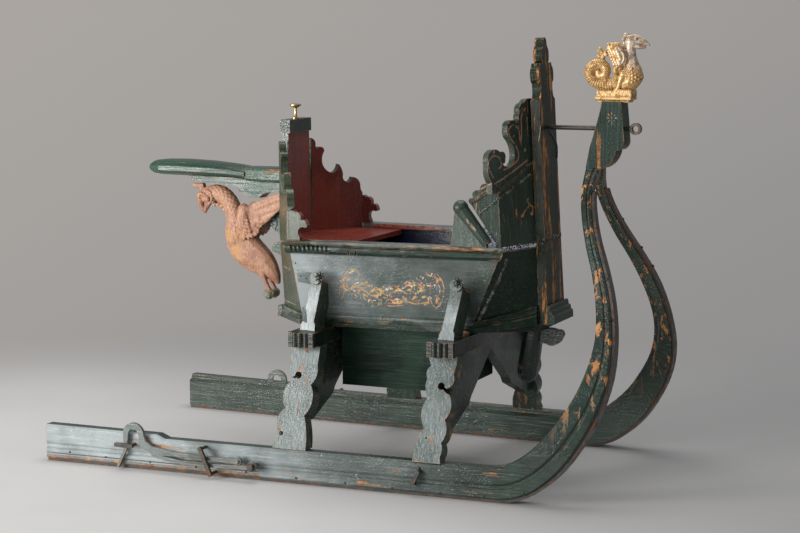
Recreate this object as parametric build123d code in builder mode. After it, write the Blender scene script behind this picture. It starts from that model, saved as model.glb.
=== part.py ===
from build123d import *
import os
from math import atan2, cos, copysign, degrees, hypot, pi, radians, sin, sqrt

# Child's sleigh: two runners swept up to one head, four leaning legs, and a carved tub on two beams.
# Millimetres. +X is the way it travels, +Y its left side, +Z up. The ground is at Z 0.
# Each right-hand piece is drawn at negative Y, and its left-hand twin is its mirror image.

os.makedirs("parts", exist_ok=True)

# Shared values
seat_gap = 0.3
board = 20.0
bolt_radius = 6.0

# Runners and shoes. Half spread is the outer face from the middle, at the rear end
runner_spread = 438.0
shoe_thickness = 9.0
shoe_inset = 3.0
runner_bevel = 5.0
moulding_depth = 4.0
ledge_depth = 13.0
ledge_width = 15.0
runner_top = 95.0
rear_top = 109.0
runner_rear_x = -839.0
join_z = 866.0
curve_steps = 3

# Each station of the blade: top or rear edge x, z; sole or front edge x, z; share of the spread; width
straight_stations = [
    (runner_rear_x, rear_top, runner_rear_x, 0.0, 1.0, 50.0),
    (-474.0, rear_top - 3, -474.0, 0.0, 0.972, 50.0),
    (-448.0, runner_top, -448.0, 0.0, 0.970, 50.0),
]
swept_stations = [
    (500.0, runner_top, 500.0, 0.0, 0.897, 50.0),
    (560.0, 101.0, 580.0, 4.0, 0.895, 50.0),
    (618.0, 133.0, 652.0, 32.0, 0.890, 50.0),
    (672.0, 182.0, 724.0, 94.0, 0.879, 49.0),
    (717.0, 242.0, 778.0, 172.0, 0.849, 48.0),
    (752.0, 305.0, 815.0, 250.0, 0.804, 47.0),
    (772.0, 372.0, 834.0, 335.0, 0.726, 46.0),
    (777.0, 440.0, 831.0, 430.0, 0.628, 45.0),
    (764.0, 515.0, 811.0, 525.0, 0.530, 43.0),
    (738.0, 595.0, 777.0, 610.0, 0.429, 41.0),
    (707.0, 665.0, 743.0, 680.0, 0.338, 38.0),
    (681.0, 740.0, 718.0, 745.0, 0.247, 36.0),
    (668.0, 805.0, 706.0, 805.0, 0.167, 33.0),
    (667.0, join_z, 716.0, join_z, 0.0715, 31.0),
]

# Head block and its figure
head_half_width = 30.0
head_top = 1048.0
stay_z = 974.0
stay_radius = 6.5
stay_hole_clearance = 0.5
stay_front_x = 790.0
eye_radius = 9.0
eye_wire = 7.0

# Legs, beams and struts
rear_leg_x = -65.0
leg_spacing = 420.0
leg_lean = 0.338
leg_foot_half = 0.92 * runner_spread
leg_thickness = 42.0
beam_bottom = 371.0
beam_height = 40.7
beam_width = 82.0
beam_overhang = 44.0
beam_shift = 8.0
lobe_count = 5
brace_thickness = 30.0
strut_width = 34.0
strut_depth = 70.0
rosette_z = 554.0
rosette_radius = 18.0
rosette_height = 8.0

# Tub: each corner's distance along and out, at the floor and at the rail
floor_z = 412.0
rail_z = 645.0
back_low, back_high = (-232.0, 88.0), (-246.0, 90.0)
rear_low, rear_high = (-120.0, 190.0), (-137.0, 246.0)
front_low, front_high = (379.0, 166.0), (485.0, 196.0)
stem_half_low, stem_high_half = 70.0, 62.0
floor_thickness = 18.0
back_top = 945.0
block_height = 38.0
stem_thickness = 26.0
stem_bottom = 434.0
stem_lean = 0.0485
seat_front_x = 10.0
seat_thickness = 14.0
skirt_reach = 16.0
skirt_height = 32.0
rail_board = 13.0
skirt_prow_low, skirt_prow_high = 432.0, 486.0
foot_board = 14.0
foot_half = 158.0
foot_bottom = 238.0
foot_rear_x = rear_leg_x + beam_shift + beam_width / 2 + 1.0
foot_front_x = rear_leg_x + leg_spacing + beam_shift - beam_width / 2 - 1.0


def lerp(a, b, t):
    return a + (b - a) * t


def stem_rear_x(z):
    return 549.0 - stem_lean * (z - floor_z)


stem_low = (stem_rear_x(floor_z) - seat_gap, stem_half_low)
stem_high = (stem_rear_x(rail_z) - seat_gap, stem_high_half)


def polygon_on(plane, points):
    with BuildSketch(plane) as outline:
        with BuildLine():
            Polyline(*points, close=True)
        make_face()
    return outline.sketch


# An outline of arcs: each row is a point and how far the arc that leads to it swells to its left
def arcs(rows):
    for (x0, y0, _), (x1, y1, swell) in zip(rows, rows[1:]):
        if swell == 0:
            Line((x0, y0), (x1, y1))
        else:
            chord = hypot(x1 - x0, y1 - y0)
            middle = ((x0 + x1) / 2 - (y1 - y0) / chord * swell, (y0 + y1) / 2 + (x1 - x0) / chord * swell)
            ThreePointArc((x0, y0), middle, (x1, y1))


# A rounded limb along a path in the middle plane: rows of x, z, half depth in that plane, half width across
def limb(rows, y=0.0, sides=12, squareness=2.3):
    sections = []
    for k, (x, z, half_depth, half_width) in enumerate(rows):
        before, after = rows[max(k - 1, 0)], rows[min(k + 1, len(rows) - 1)]
        along = Vector(after[0] - before[0], 0, after[1] - before[1])
        points = []
        for n in range(sides):
            angle = 2 * pi * (n + 0.5) / sides
            across, up = cos(angle), sin(angle)
            points.append((copysign(abs(across) ** (2 / squareness), across) * half_width,
                           copysign(abs(up) ** (2 / squareness), up) * half_depth))
        sections.append(polygon_on(Plane(origin=(x, y, z), x_dir=(0, 1, 0), z_dir=along), points))
    return sections


# Rows between the given rows, on a smooth curve through them
def smooth_rows(rows, steps):
    result = []
    for k in range(len(rows) - 1):
        p0, p1, p2 = rows[max(k - 1, 0)], rows[k], rows[k + 1]
        p3 = rows[min(k + 2, len(rows) - 1)]
        for n in range(steps):
            t = n / steps
            result.append(tuple(
                b + 0.5 * t * (c - a + t * (2 * a - 5 * b + 4 * c - d + t * (3 * (b - c) + d - a)))
                for a, b, c, d in zip(p0, p1, p2, p3)))
    return result + [rows[-1]]


def export(builder, name):
    builder.part.label = name
    export_step(builder.part, f"parts/{name}.step")


def export_pair(builder, name):
    export(builder, f"{name}_right")
    with BuildPart() as twin:
        mirror(builder.part, about=Plane.XZ)
    export(twin, f"{name}_left")


# Runner blades: a moulded plank that turns up, thins and leans in to the head
runner_stations = straight_stations + smooth_rows(swept_stations, curve_steps)


def runner_face(x):
    first, second = straight_stations[0], swept_stations[0]
    return runner_spread * lerp(first[4], second[4], (x - first[0]) / (second[0] - first[0]))


def station_plane(row):
    top_x, top_z, sole_x, sole_z, share, width = row
    depth = hypot(sole_x - top_x, sole_z - top_z)
    across = ((sole_x - top_x) / depth, 0, (sole_z - top_z) / depth)
    plane = Plane(
        origin=(top_x, -(runner_spread * share - width), top_z),
        x_dir=across,
        z_dir=Vector(*across).cross(Vector(0, -1, 0)),
    )
    return plane, depth, width


# The outer face has a hollow moulding, the inner face a ledge below its top edge
def blade_section(row):
    plane, depth, width = station_plane(row)
    wood = depth - shoe_thickness
    ledge = ledge_width * width / straight_stations[0][5]
    points = [
        (0, ledge),
        (ledge_depth, ledge),
        (ledge_depth + 2, 4),
        (ledge_depth + 8, 0),
        (wood, 0),
        (wood, width - runner_bevel),
        (wood - runner_bevel, width),
        (0.70 * wood, width),
        (0.66 * wood, width - moulding_depth),
        (0.58 * wood, width - moulding_depth),
        (0.54 * wood, width - 1),
        (0.50 * wood, width),
        (runner_bevel, width),
        (0, width - runner_bevel),
    ]
    return polygon_on(plane, points)


def shoe_section(row):
    plane, depth, width = station_plane(row)
    near, far = depth - shoe_thickness + seat_gap, depth
    low, high = shoe_inset, width - shoe_inset - runner_bevel
    return polygon_on(plane, [(near, low), (far, low), (far, high), (near, high)])


with BuildPart() as runner:
    loft([blade_section(row) for row in runner_stations], ruled=True)
export_pair(runner, "runner")

swept_shoe = runner_stations[len(straight_stations):-curve_steps]
with BuildPart() as shoe:
    loft([shoe_section(row) for row in swept_shoe], ruled=True)
    shoe_ends = []
    for row in (straight_stations[0], swept_shoe[0]):
        inner = runner_spread * row[4] - row[5]
        sole_outer = -inner - row[5] + shoe_inset + runner_bevel
        shoe_ends.append([(row[0], -inner - shoe_inset), (row[0], sole_outer)])
    with BuildSketch(Plane.XY):
        with BuildLine():
            Polyline(*shoe_ends[0], *reversed(shoe_ends[1]), close=True)
        make_face()
    extrude(amount=shoe_thickness - seat_gap)
export_pair(shoe, "shoe")

# Head block that locks the two blades together
with BuildPart() as runner_head:
    with BuildSketch(Plane.XZ):
        with BuildLine():
            rear_edge = Polyline((712, head_top), (700, 998), (676, 917), (667, join_z + seat_gap))
            base = Line(rear_edge @ 1, (716, join_z + seat_gap))
            ThreePointArc(base @ 1, (742, 888), (752, 915))
            lip = ThreePointArc((752, 915), (768, 922), (775, 940))
            Polyline(lip @ 1, (772, 985), (766, head_top), (712, head_top))
        make_face()
    extrude(amount=head_half_width, both=True)
    with Locations(Plane.YZ.offset(700)):
        with Locations((0, stay_z)):
            Cylinder(stay_radius + stay_hole_clearance, 260, mode=Mode.SUBTRACT)
export(runner_head, "runner_head")

# Gilded dragon on its moulded base: rows of x, z, half depth and half width along its back
dragon_x = 728.0
dragon_base = head_top + seat_gap
dragon_back = [
    (838, 1201, 3, 3), (829, 1206, 8, 6), (813, 1212, 17, 12), (793, 1214, 22, 15), (778, 1204, 19, 14),
    (780, 1184, 18, 13), (785, 1164, 18, 14), (789, 1140, 25, 19), (787, 1117, 31, 23), (767, 1099, 27, 22),
    (737, 1093, 20, 18), (703, 1092, 17, 15), (680, 1102, 16, 14), (671, 1122, 14, 13), (681, 1141, 14, 12),
    (699, 1144, 13, 11), (713, 1134, 11, 10), (712, 1121, 8, 9),
]
tail_leaf = [(705, 1152, 0), (695, 1168, 4), (685, 1180, 5), (692, 1197, 4), (704, 1192, -3), (714, 1197, 3),
             (720, 1184, 5), (712, 1168, 3), (719, 1152, 0), (705, 1152, 0)]
dragon_wing = [(743, 1132, 0), (738, 1150, 3), (727, 1170, 4), (733, 1188, 3), (726, 1207, -3), (753, 1203, 5),
               (776, 1172, 9), (765, 1142, 5), (757, 1128, 0), (743, 1132, 0)]
with BuildPart() as dragon:
    with BuildSketch(Plane.XY.offset(dragon_base)):
        with Locations((dragon_x + 19, 0)):
            RectangleRounded(104, 54, 8)
    extrude(amount=16)
    with BuildSketch(Plane.XY.offset(dragon_base + 16)):
        with Locations((dragon_x + 20, 0)):
            RectangleRounded(97, 46, 8)
    extrude(amount=14)
    loft(limb(dragon_back), ruled=True)
    with BuildSketch(Plane.XZ):
        with BuildLine():
            arcs(tail_leaf)
        make_face()
    extrude(amount=8, both=True)
    for side in (-1, 1):
        with BuildSketch(Plane.XZ.offset(-side * 15)):
            with BuildLine():
                arcs(dragon_wing)
            make_face()
        extrude(amount=5, both=True)
        with Locations((dragon_x + 40, side * 17, dragon_base + 36)):
            Box(46, 14, 24)
export(dragon, "dragon")

# Iron stay from the stem through the head, ending in a forged eye
with BuildPart() as stay_rod:
    stay_rear_x = stem_rear_x(stay_z) + stem_thickness + 0.5
    with BuildSketch(Plane.YZ.offset(stay_rear_x + seat_gap)):
        with Locations((0, stay_z)):
            Circle(stay_radius)
    extrude(amount=stay_front_x - stay_rear_x - seat_gap)
    with BuildSketch(Plane.XZ):
        with Locations((stay_front_x + eye_radius, stay_z)):
            Circle(eye_radius + eye_wire)
    extrude(amount=eye_wire, both=True)
    with BuildSketch(Plane.XZ):
        with Locations((stay_front_x + eye_radius, stay_z)):
            Circle(eye_radius)
    extrude(amount=2 * eye_wire, both=True, mode=Mode.SUBTRACT)
export(stay_rod, "stay_rod")


# Legs: leaning planks with scroll-cut edges and a comma notch. Rows of x, distance up the plank, swell
leg_outlines = {
    "rear": [
        (-54, -45, 0), (-51, -6, 0), (-44, 28, 0), (-41, 50, 2), (-27, 114, 12), (-13, 195, 19), (-19, 201, 0),
        (-23, 242, 10), (-22, 274, 9), (-32, 282, 0), (-34, 340, 0), (56, 340, 0), (55, 239, 0), (42, 184, 8),
        (34, 97, 15), (52, -2, 5), (54, -45, 0), (-54, -45, 0),
    ],
    "front": [
        (-48, -45, 0), (-46, 1, 0), (-24, 92, 8), (-24, 177, 13), (-32, 228, 6), (-26, 262, 7), (-34, 283, 0),
        (-36, 340, 0), (50, 340, 0), (48, 271, 0), (42, 243, 0), (23, 202, 12), (31, 194, 0), (33, 119, 15),
        (30, 57, 10), (31, 19, 5), (36, -2, 0), (38, -45, 0), (-48, -45, 0),
    ],
}
leg_notches = {"rear": ((0, 208), (-15, 198), 36), "front": ((11, 209), (25, 199), -36)}
lean_angle = atan2(leg_lean, 1)
lean_out = (0, -cos(lean_angle), sin(lean_angle))


def leg_outer(z):
    return leg_foot_half - leg_lean * (z - runner_top)


def leg_inner(z):
    return leg_outer(z) - leg_thickness / cos(lean_angle)


leg_places = (("rear", rear_leg_x), ("front", rear_leg_x + leg_spacing))
for end, leg_x in leg_places:
    hole, slot, turn = leg_notches[end]
    with BuildPart() as leg:
        with BuildSketch(Plane(origin=(leg_x, -leg_foot_half, runner_top), x_dir=(1, 0, 0), z_dir=lean_out)):
            with BuildLine():
                arcs(leg_outlines[end])
            make_face()
            with Locations(hole):
                Circle(10, mode=Mode.SUBTRACT)
            with Locations(Pos(*slot) * Rot(0, 0, turn)):
                Rectangle(26, 8, mode=Mode.SUBTRACT)
        extrude(amount=-leg_thickness)
        split(bisect_by=Plane.XY.offset(runner_top + seat_gap), keep=Keep.TOP)
        split(bisect_by=Plane.XY.offset(beam_bottom), keep=Keep.BOTTOM)
    export_pair(leg, f"leg_{end}")

# Cross beams with fluted round ends, and the brace board that hangs under each
beam_half = leg_outer(beam_bottom + beam_height / 2) + beam_overhang
for end, leg_x in leg_places:
    beam_x = leg_x + beam_shift
    lobe = beam_width / lobe_count / 2
    with BuildPart() as beam:
        with BuildSketch(Plane.XY.offset(beam_bottom)):
            with Locations((beam_x, 0)):
                Rectangle(beam_width - 4, 2 * (beam_half - 2 * lobe))
            for side in (-1, 1):
                for k in range(lobe_count):
                    turn = (k - (lobe_count - 1) / 2) / ((lobe_count - 1) / 2)
                    with Locations((beam_x + turn * (beam_width / 2 - lobe),
                                    side * (beam_half - lobe - 10 * turn * turn))):
                        Circle(lobe * 1.08)
                with Locations((beam_x, side * (beam_half - 2.4 * lobe))):
                    Rectangle(beam_width - 6, 2 * lobe + 8)
        extrude(amount=beam_height)
    export(beam, f"beam_{end}")

    brace_top = beam_bottom - seat_gap
    brace_drop = 159.0
    brace_foot = beam_bottom - 206.0
    arch_rise = 28.0
    with BuildPart() as brace:
        with BuildSketch(Plane.YZ.offset(beam_x - brace_thickness / 2)):
            with BuildLine():
                reach = leg_inner(brace_foot) - 1
                Polyline(
                    (-leg_inner(brace_top) + 1, brace_top), (leg_inner(brace_top) - 1, brace_top),
                    (reach, brace_foot), (reach - 40, brace_foot - 4), (foot_half + 8, brace_top - brace_drop),
                    (foot_half - 8, brace_top - brace_drop + 20), (0, brace_top - arch_rise),
                    (-foot_half + 8, brace_top - brace_drop + 20), (-foot_half - 8, brace_top - brace_drop),
                    (-reach + 40, brace_foot - 4), (-reach, brace_foot), close=True,
                )
            make_face()
        extrude(amount=brace_thickness)
    export(brace, f"brace_{end}")


# Tub corners in plan at a height, right-hand side, as signed points
def corner(low, high, z, side=-1):
    t = (z - floor_z) / (rail_z - floor_z)
    return Vector(lerp(low[0], high[0], t), side * lerp(low[1], high[1], t))


def ring(z):
    names = [(back_low, back_high), (rear_low, rear_high), (front_low, front_high), (stem_low, stem_high)]
    right = [corner(low, high, z, -1) for low, high in names]
    left = [Vector(p.X, -p.Y) for p in reversed(right)]
    return right + left


def offset_line(a, b, amount):
    along = (b - a).normalized()
    normal = Vector(-along.Y, along.X)
    return a + normal * amount, along


def meet(a, da, b, db):
    cross = da.X * db.Y - da.Y * db.X
    t = ((b.X - a.X) * db.Y - (b.Y - a.Y) * db.X) / cross
    return a + da * t


# Points on the mitre of each corner, moved inwards by an amount (negative is outwards)
def ring_offset(z, amount):
    points = ring(z)
    moved = []
    for k, point in enumerate(points):
        before, after = points[k - 1], points[(k + 1) % len(points)]
        shift_before = 0.0 if k == 4 else amount
        shift_after = 0.0 if k == 3 else amount
        a, da = offset_line(before, point, shift_before)
        b, db = offset_line(point, after, shift_after)
        moved.append(meet(a, da, b, db))
    return moved


def wall(first, low_z, high_z, thickness=board):
    quads = []
    for z in (low_z, high_z):
        outer, inner = ring(z), ring_offset(z, thickness)
        quad = [outer[first], outer[first + 1], inner[first + 1], inner[first]]
        quads.append(polygon_on(Plane.XY.offset(z), [(p.X, p.Y) for p in quad]))
    return quads


with BuildPart() as side_panel:
    loft(wall(1, floor_z, rail_z), ruled=True)
export_pair(side_panel, "side_panel")

with BuildPart() as cheek:
    loft(wall(2, floor_z, rail_z), ruled=True)
export_pair(cheek, "cheek")

# Rear side panels rise above the rail in scrolls that turn the corner on to the side.
# Rows of distance from the back corner, height, swell
rear_crest = [
    (0, 922, 0), (19, 901, 6), (26, 889, -3), (48, 880, 9), (63, 818, -15), (84, 817, -3), (97, 839, -3),
    (111, 806, 3), (121, 786, -5), (133, 785, -2), (143, 798, -2), (170, 767, 9), (189, 740, -4),
]
corner_crest = [
    (-6, 738, 0), (2, 740, 0), (20, 736, 3), (38, 724, 5), (38, 714, 0), (56, 704, 6), (52, 694, 4),
    (32, 690, -3), (34, 666, -4),
]
with BuildPart() as rear_side:
    loft(wall(0, floor_z, rail_z), ruled=True)
    low_a, low_b = ring(rail_z)[0], ring(rail_z)[1]
    along = (low_b - low_a)
    plane = Plane(origin=(low_a.X, low_a.Y, 0), x_dir=(along.X, along.Y, 0),
                  z_dir=(along.Y, -along.X, 0))
    crest_scale = along.length / rear_crest[-1][0]
    crest = [(s * crest_scale, z, swell) for s, z, swell in rear_crest]
    with BuildSketch(plane):
        with BuildLine():
            arcs(crest)
            Polyline((along.length, rear_crest[-1][1]), (along.length, rail_z), (0, rail_z),
                     (0, rear_crest[0][1]))
        make_face()
    extrude(amount=-board)
    mitre_out = ring_offset(rail_z, -10)[1] - ring(rail_z)[1]
    mitre_foot = low_b - along.normalized() * 2 * seat_gap
    split(bisect_by=Plane(origin=mitre_foot, z_dir=(mitre_out.Y, -mitre_out.X, 0)), keep=Keep.TOP)
    back_out = ring_offset(rail_z, -10)[0] - ring(rail_z)[0]
    split(bisect_by=Plane(origin=(low_a.X, low_a.Y, 0), z_dir=(-back_out.Y, back_out.X, 0)), keep=Keep.TOP)
    corner_floor = rail_z + rail_board + seat_gap
    with BuildSketch(Plane.XZ.offset(rear_high[1] - board)):
        with BuildLine():
            arcs([(rear_high[0] + x, z, swell) for x, z, swell in corner_crest])
            Polyline((rear_high[0] + 34, 666), (rear_high[0] + 34, corner_floor),
                     (rear_high[0] - 6, corner_floor), (rear_high[0] - 6, 738))
        make_face()
    extrude(amount=board - 1)
export_pair(rear_side, "rear_side")

# Back board between the rear side panels, with the block and brass pin on top
with BuildPart() as back_board:
    low, high = ring(floor_z), ring(rail_z)
    inner_low, inner_high = ring_offset(floor_z, board), ring_offset(rail_z, board)
    sections = []
    for z, outer, inner in ((floor_z, low, inner_low), (rail_z, high, inner_high)):
        quad = [outer[7], outer[0], inner[0], inner[7]]
        sections.append(polygon_on(Plane.XY.offset(z), [(p.X, p.Y) for p in quad]))
    loft(sections, ruled=True)
    with BuildSketch(Plane.YZ.offset(back_high[0])):
        with BuildLine():
            Polyline((-78, rail_z), (-66, back_top), (66, back_top), (78, rail_z), close=True)
        make_face()
    extrude(amount=board)
export(back_board, "back_board")

with BuildPart() as back_block:
    with BuildSketch(Plane.XY.offset(back_top + seat_gap)):
        with Locations((back_high[0] + board / 2, 0)):
            Rectangle(32, 138)
    extrude(amount=block_height)
export(back_block, "back_block")

with BuildPart() as rein_pin:
    pin_base = back_top + seat_gap + block_height + seat_gap
    with BuildSketch(Plane.XZ):
        with BuildLine():
            Polyline((0, pin_base), (10, pin_base), (10, pin_base + 3), (4, pin_base + 6),
                     (4, pin_base + 30), (9, pin_base + 33), (17, pin_base + 38), (17, pin_base + 41),
                     (0, pin_base + 45), close=True)
        make_face()
    revolve(axis=Axis.Z)
rein_pin.part = rein_pin.part.moved(Location((back_high[0] + board / 2, 0, 0)))
export(rein_pin, "rein_pin")

# Stem board with its finial, drawn as half the outline
# Rows of distance from the middle, distance up the board, swell
stem_outline = [
    (73, stem_bottom, 0), (66, 660, 0), (63, 1052, 0), (50, 1062, 2), (48, 1098, 3), (58, 1112, -3),
    (54, 1138, -3), (44, 1152, 2), (18, 1153, 0), (26, 1162, -2), (24, 1190, -3), (12, 1212, 3), (0, 1222, -2),
]
with BuildPart() as stem:
    stem_plane = Plane(
        origin=(stem_rear_x(0) + stem_thickness * sqrt(1 + stem_lean ** 2), 0, 0),
        x_dir=(0, 1, 0),
        z_dir=(1, 0, stem_lean),
    )
    with BuildSketch(stem_plane):
        with BuildLine():
            arcs(stem_outline)
            Polyline(stem_outline[-1][:2], (0, stem_bottom), stem_outline[0][:2])
        make_face()
        mirror(about=Plane.YZ)
    extrude(amount=-stem_thickness)
export(stem, "stem")

# Floor with the foot well cut through it
foot_centre_x = (foot_rear_x + foot_front_x) / 2
foot_length = foot_front_x - foot_rear_x
with BuildPart() as floor:
    with BuildSketch(Plane.XY.offset(floor_z)):
        with BuildLine():
            points = [(p.X, p.Y) for p in ring_offset(floor_z, board + seat_gap)]
            Polyline(*points, close=True)
        make_face()
        with Locations((foot_centre_x, 0)):
            Rectangle(foot_length - 2 * foot_board, 2 * (foot_half - foot_board - 24), mode=Mode.SUBTRACT)
    extrude(amount=floor_thickness)
    for panel in (side_panel, cheek, rear_side):
        add(panel.part, mode=Mode.SUBTRACT)
        mirror(panel.part, about=Plane.XZ, mode=Mode.SUBTRACT)
export(floor, "floor")

with BuildPart() as foot_well:
    with BuildSketch(Plane.XY.offset(foot_bottom)):
        with Locations((foot_centre_x, 0)):
            Rectangle(foot_length, 2 * foot_half)
    extrude(amount=floor_z - seat_gap - foot_bottom)
    with BuildSketch(Plane.XY.offset(foot_bottom + foot_board)):
        with Locations((foot_centre_x, 0)):
            Rectangle(foot_length - 2 * foot_board, 2 * (foot_half - foot_board))
    extrude(amount=floor_z - foot_bottom, mode=Mode.SUBTRACT)
export(foot_well, "foot_well")

# Seat board across the rear of the tub
with BuildPart() as seat_board:
    inner = ring_offset(rail_z - seat_thickness, board + 1.0)
    slope = (inner[2].Y - inner[1].Y) / (inner[2].X - inner[1].X)
    front_y = inner[1].Y + slope * (seat_front_x - inner[1].X)
    half = [(inner[0].X, inner[0].Y), (inner[1].X, inner[1].Y), (seat_front_x, front_y)]
    with BuildSketch(Plane.XY.offset(rail_z - seat_thickness)):
        with BuildLine():
            Polyline(*half, *[(x, -y) for x, y in reversed(half)], close=True)
        make_face()
    extrude(amount=seat_thickness)
export(seat_board, "seat_board")


# Strips that follow a wall of the tub: each profile point is (outwards from the wall, height)
def wall_point(first, u, out, z):
    if u in (0, 1):
        point = ring_offset(z, -out)[first + u]
        return Vector(point.X, point.Y, z)
    start, end = ring(z)[first], ring(z)[first + 1]
    foot, along = offset_line(start, end, -out)
    point = foot + (end - start) * u
    return Vector(point.X, point.Y, z)


def strip_section(first, u, profile):
    points = [wall_point(first, u, out, z) for out, z in profile]
    across, up = points[1] - points[0], points[-1] - points[0]
    plane = Plane(origin=points[0], x_dir=across, z_dir=across.cross(up))
    flat = [plane.to_local_coords(point) for point in points]
    return polygon_on(plane, [(point.X, point.Y) for point in flat])


def skirt_profile(low, high):
    return [(seat_gap, low), (skirt_reach, low), (skirt_reach, lerp(low, high, 0.46)),
            (skirt_reach - 3, lerp(low, high, 0.52)), (skirt_reach - 2, lerp(low, high, 0.66)),
            (0.55 * skirt_reach, lerp(low, high, 0.80)), (0.5 * skirt_reach, high), (seat_gap, high)]


# Moulded skirt round the foot of the tub, deeper and lifted at the prow
skirt_side_ends = (floor_z, floor_z + skirt_height)
skirt_prow_ends = (skirt_prow_low, skirt_prow_high)
skirts = []
for name, first, ends, spans in (
    ("skirt_rear", 0, (skirt_side_ends, skirt_side_ends), 1),
    ("skirt_side", 1, (skirt_side_ends, skirt_side_ends), 1),
    ("skirt_cheek", 2, (skirt_side_ends, skirt_prow_ends), 6),
):
    sections = []
    for k in range(spans + 1):
        u = k / spans if 0 < k < spans else k // spans
        low, high = (lerp(a, b, u) for a, b in zip(*ends))
        sections.append(strip_section(first, u, skirt_profile(low, high)))
    with BuildPart() as skirt:
        loft(sections, ruled=True)
    export_pair(skirt, name)
    skirts.append(skirt)

with BuildPart() as skirt_back:
    with BuildSketch(Plane.XY.offset(floor_z)):
        with Locations((back_low[0] - seat_gap - 1 - skirt_reach / 2, 0)):
            Rectangle(skirt_reach, 2 * back_low[1] + 2 * skirt_reach)
    extrude(amount=skirt_height)
    split(bisect_by=Plane(origin=(back_low[0] - 1, 0, floor_z), z_dir=(-1, 0, (back_high[0] - back_low[0])
                                                                      / (rail_z - floor_z))), keep=Keep.TOP)
    add(skirts[0].part, mode=Mode.SUBTRACT)
    mirror(skirts[0].part, about=Plane.XZ, mode=Mode.SUBTRACT)
export(skirt_back, "skirt_back")

# Rows of distance out and up: a deep foot with two grooves above it
prow_steps = [
    (0, 0), (22, 4), (21, 24), (15, 28), (14, 38), (8, 41), (7, 50), (4, 54), (0, 54),
]
with BuildPart() as skirt_prow:
    front_x = stem_rear_x(skirt_prow_low) + stem_thickness + 2 * seat_gap
    with BuildSketch(Plane.XZ):
        with BuildLine():
            Polyline([(front_x + out, skirt_prow_low + up) for out, up in prow_steps], close=True)
        make_face()
    extrude(amount=stem_half_low + 9, both=True)
export(skirt_prow, "skirt_prow")

# Rail: a half-round moulding below a flat top board that caps the side panel
barrel_radius = 13.0
rail_notches = (0.30, 0.335)


def rail_profile(z):
    top = z + rail_board
    barrel = [(6 + barrel_radius * cos(radians(a)), z - 12 + barrel_radius * sin(radians(a)))
              for a in (-70, -42, -14, 14, 42, 70)]
    cap = [(15, z + 1), (22, z + 3), (24, z + 5), (24, top - 3), (21, top), (-board - 8, top),
           (-board - 8, z + seat_gap), (seat_gap, z + seat_gap)]
    return [(seat_gap, z - 25)] + barrel + cap


with BuildPart() as rail:
    loft([strip_section(1, u, rail_profile(rail_z)) for u in (0, 1)], ruled=True)
    for u in rail_notches:
        spot = wall_point(1, u, barrel_radius + 6, rail_z - 12)
        with Locations(Location((spot.X, spot.Y - 4, spot.Z - 8), (0, 0, 5))):
            Box(5, 24, 20, mode=Mode.SUBTRACT)
export_pair(rail, "rail")

# Wings: the raised front of the tub. A front facet, a side facet, and a scroll-cut crest on a bead
corner_foot = Vector(front_high[0], -front_high[1], rail_z)
stem_foot = Vector(stem_rear_x(rail_z), -stem_high_half, rail_z)
corner_top = Vector(472, -190, 828)
wing_tip = Vector(397, -205, 777)
crest_low, crest_high = 168.0, 242.0
crest_lap = 8.0
bead_width, bead_reach = 8.0, 5.0
# Rows of distance from the corner towards the stem, height up the facet, swell
crest = [
    (-24, 160, 0), (-22, 188, 0), (-32, 242, 7), (18, 270, 22), (36, 250, 11), (25, 239, 5), (72, 247, -14),
    (60, 303, -8), (51, 332, 5), (84, 351, 12), (103, 345, 0), (103, 372, 5), (124, 400, 9), (150, 411, 4),
]
knobs = ((36, 10, 14), (64, 9, 12), (86, 3, 8))
with BuildPart() as wing:
    along = stem_foot - corner_foot
    outward = along.cross(corner_top - corner_foot).normalized()
    front_plane = Plane(origin=corner_foot, x_dir=along, z_dir=outward)
    stem_cut = along.length + 12
    with BuildSketch(front_plane):
        with BuildLine():
            Polyline((0, -4), (along.length, -4), (stem_cut, crest_high + crest_lap),
                     (0, crest_low + crest_lap), close=True)
        make_face()
    extrude(amount=-board)
    with BuildSketch(front_plane):
        with BuildLine():
            arcs(crest)
            Polyline((150, 411), (stem_cut + 2, 411), (stem_cut, crest_high - 2), (-24, 160))
        make_face()
    extrude(amount=-board)
    with BuildSketch(front_plane):
        with BuildLine():
            Polyline((-2, crest_low - bead_width), (stem_cut - 2, crest_high - bead_width),
                     (stem_cut - 2, crest_high), (-2, crest_low), close=True)
        make_face()
    extrude(amount=bead_reach)
    side_along = corner_foot - wing_tip
    side_out = side_along.cross(corner_top - wing_tip).normalized()
    side_plane = Plane(origin=wing_tip, x_dir=corner_top - wing_tip, z_dir=side_out)
    flat = [side_plane.to_local_coords(p) for p in (wing_tip, corner_foot, corner_top)]
    with BuildSketch(side_plane):
        with BuildLine():
            Polyline(*[(p.X, p.Y) for p in flat], close=True)
        make_face()
    extrude(amount=-board)
    ridge = (corner_top - wing_tip).length
    with BuildSketch(side_plane):
        with Locations((ridge / 2, 0)):
            Rectangle(ridge, bead_width)
    extrude(amount=bead_reach)
    with BuildSketch(side_plane):
        with Locations((ridge / 2, 1)):
            Rectangle(ridge, 10)
        for back_from, up, radius in knobs:
            with Locations((ridge - back_from, up)):
                Circle(radius)
    extrude(amount=-board)
    split(bisect_by=Plane.XY.offset(rail_z + rail_board + seat_gap), keep=Keep.TOP)
    stem_back = Plane(origin=(stem_rear_x(0) - seat_gap, 0, 0), z_dir=(-1, 0, -stem_lean))
    split(bisect_by=stem_back, keep=Keep.TOP)
export_pair(wing, "wing")

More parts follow.
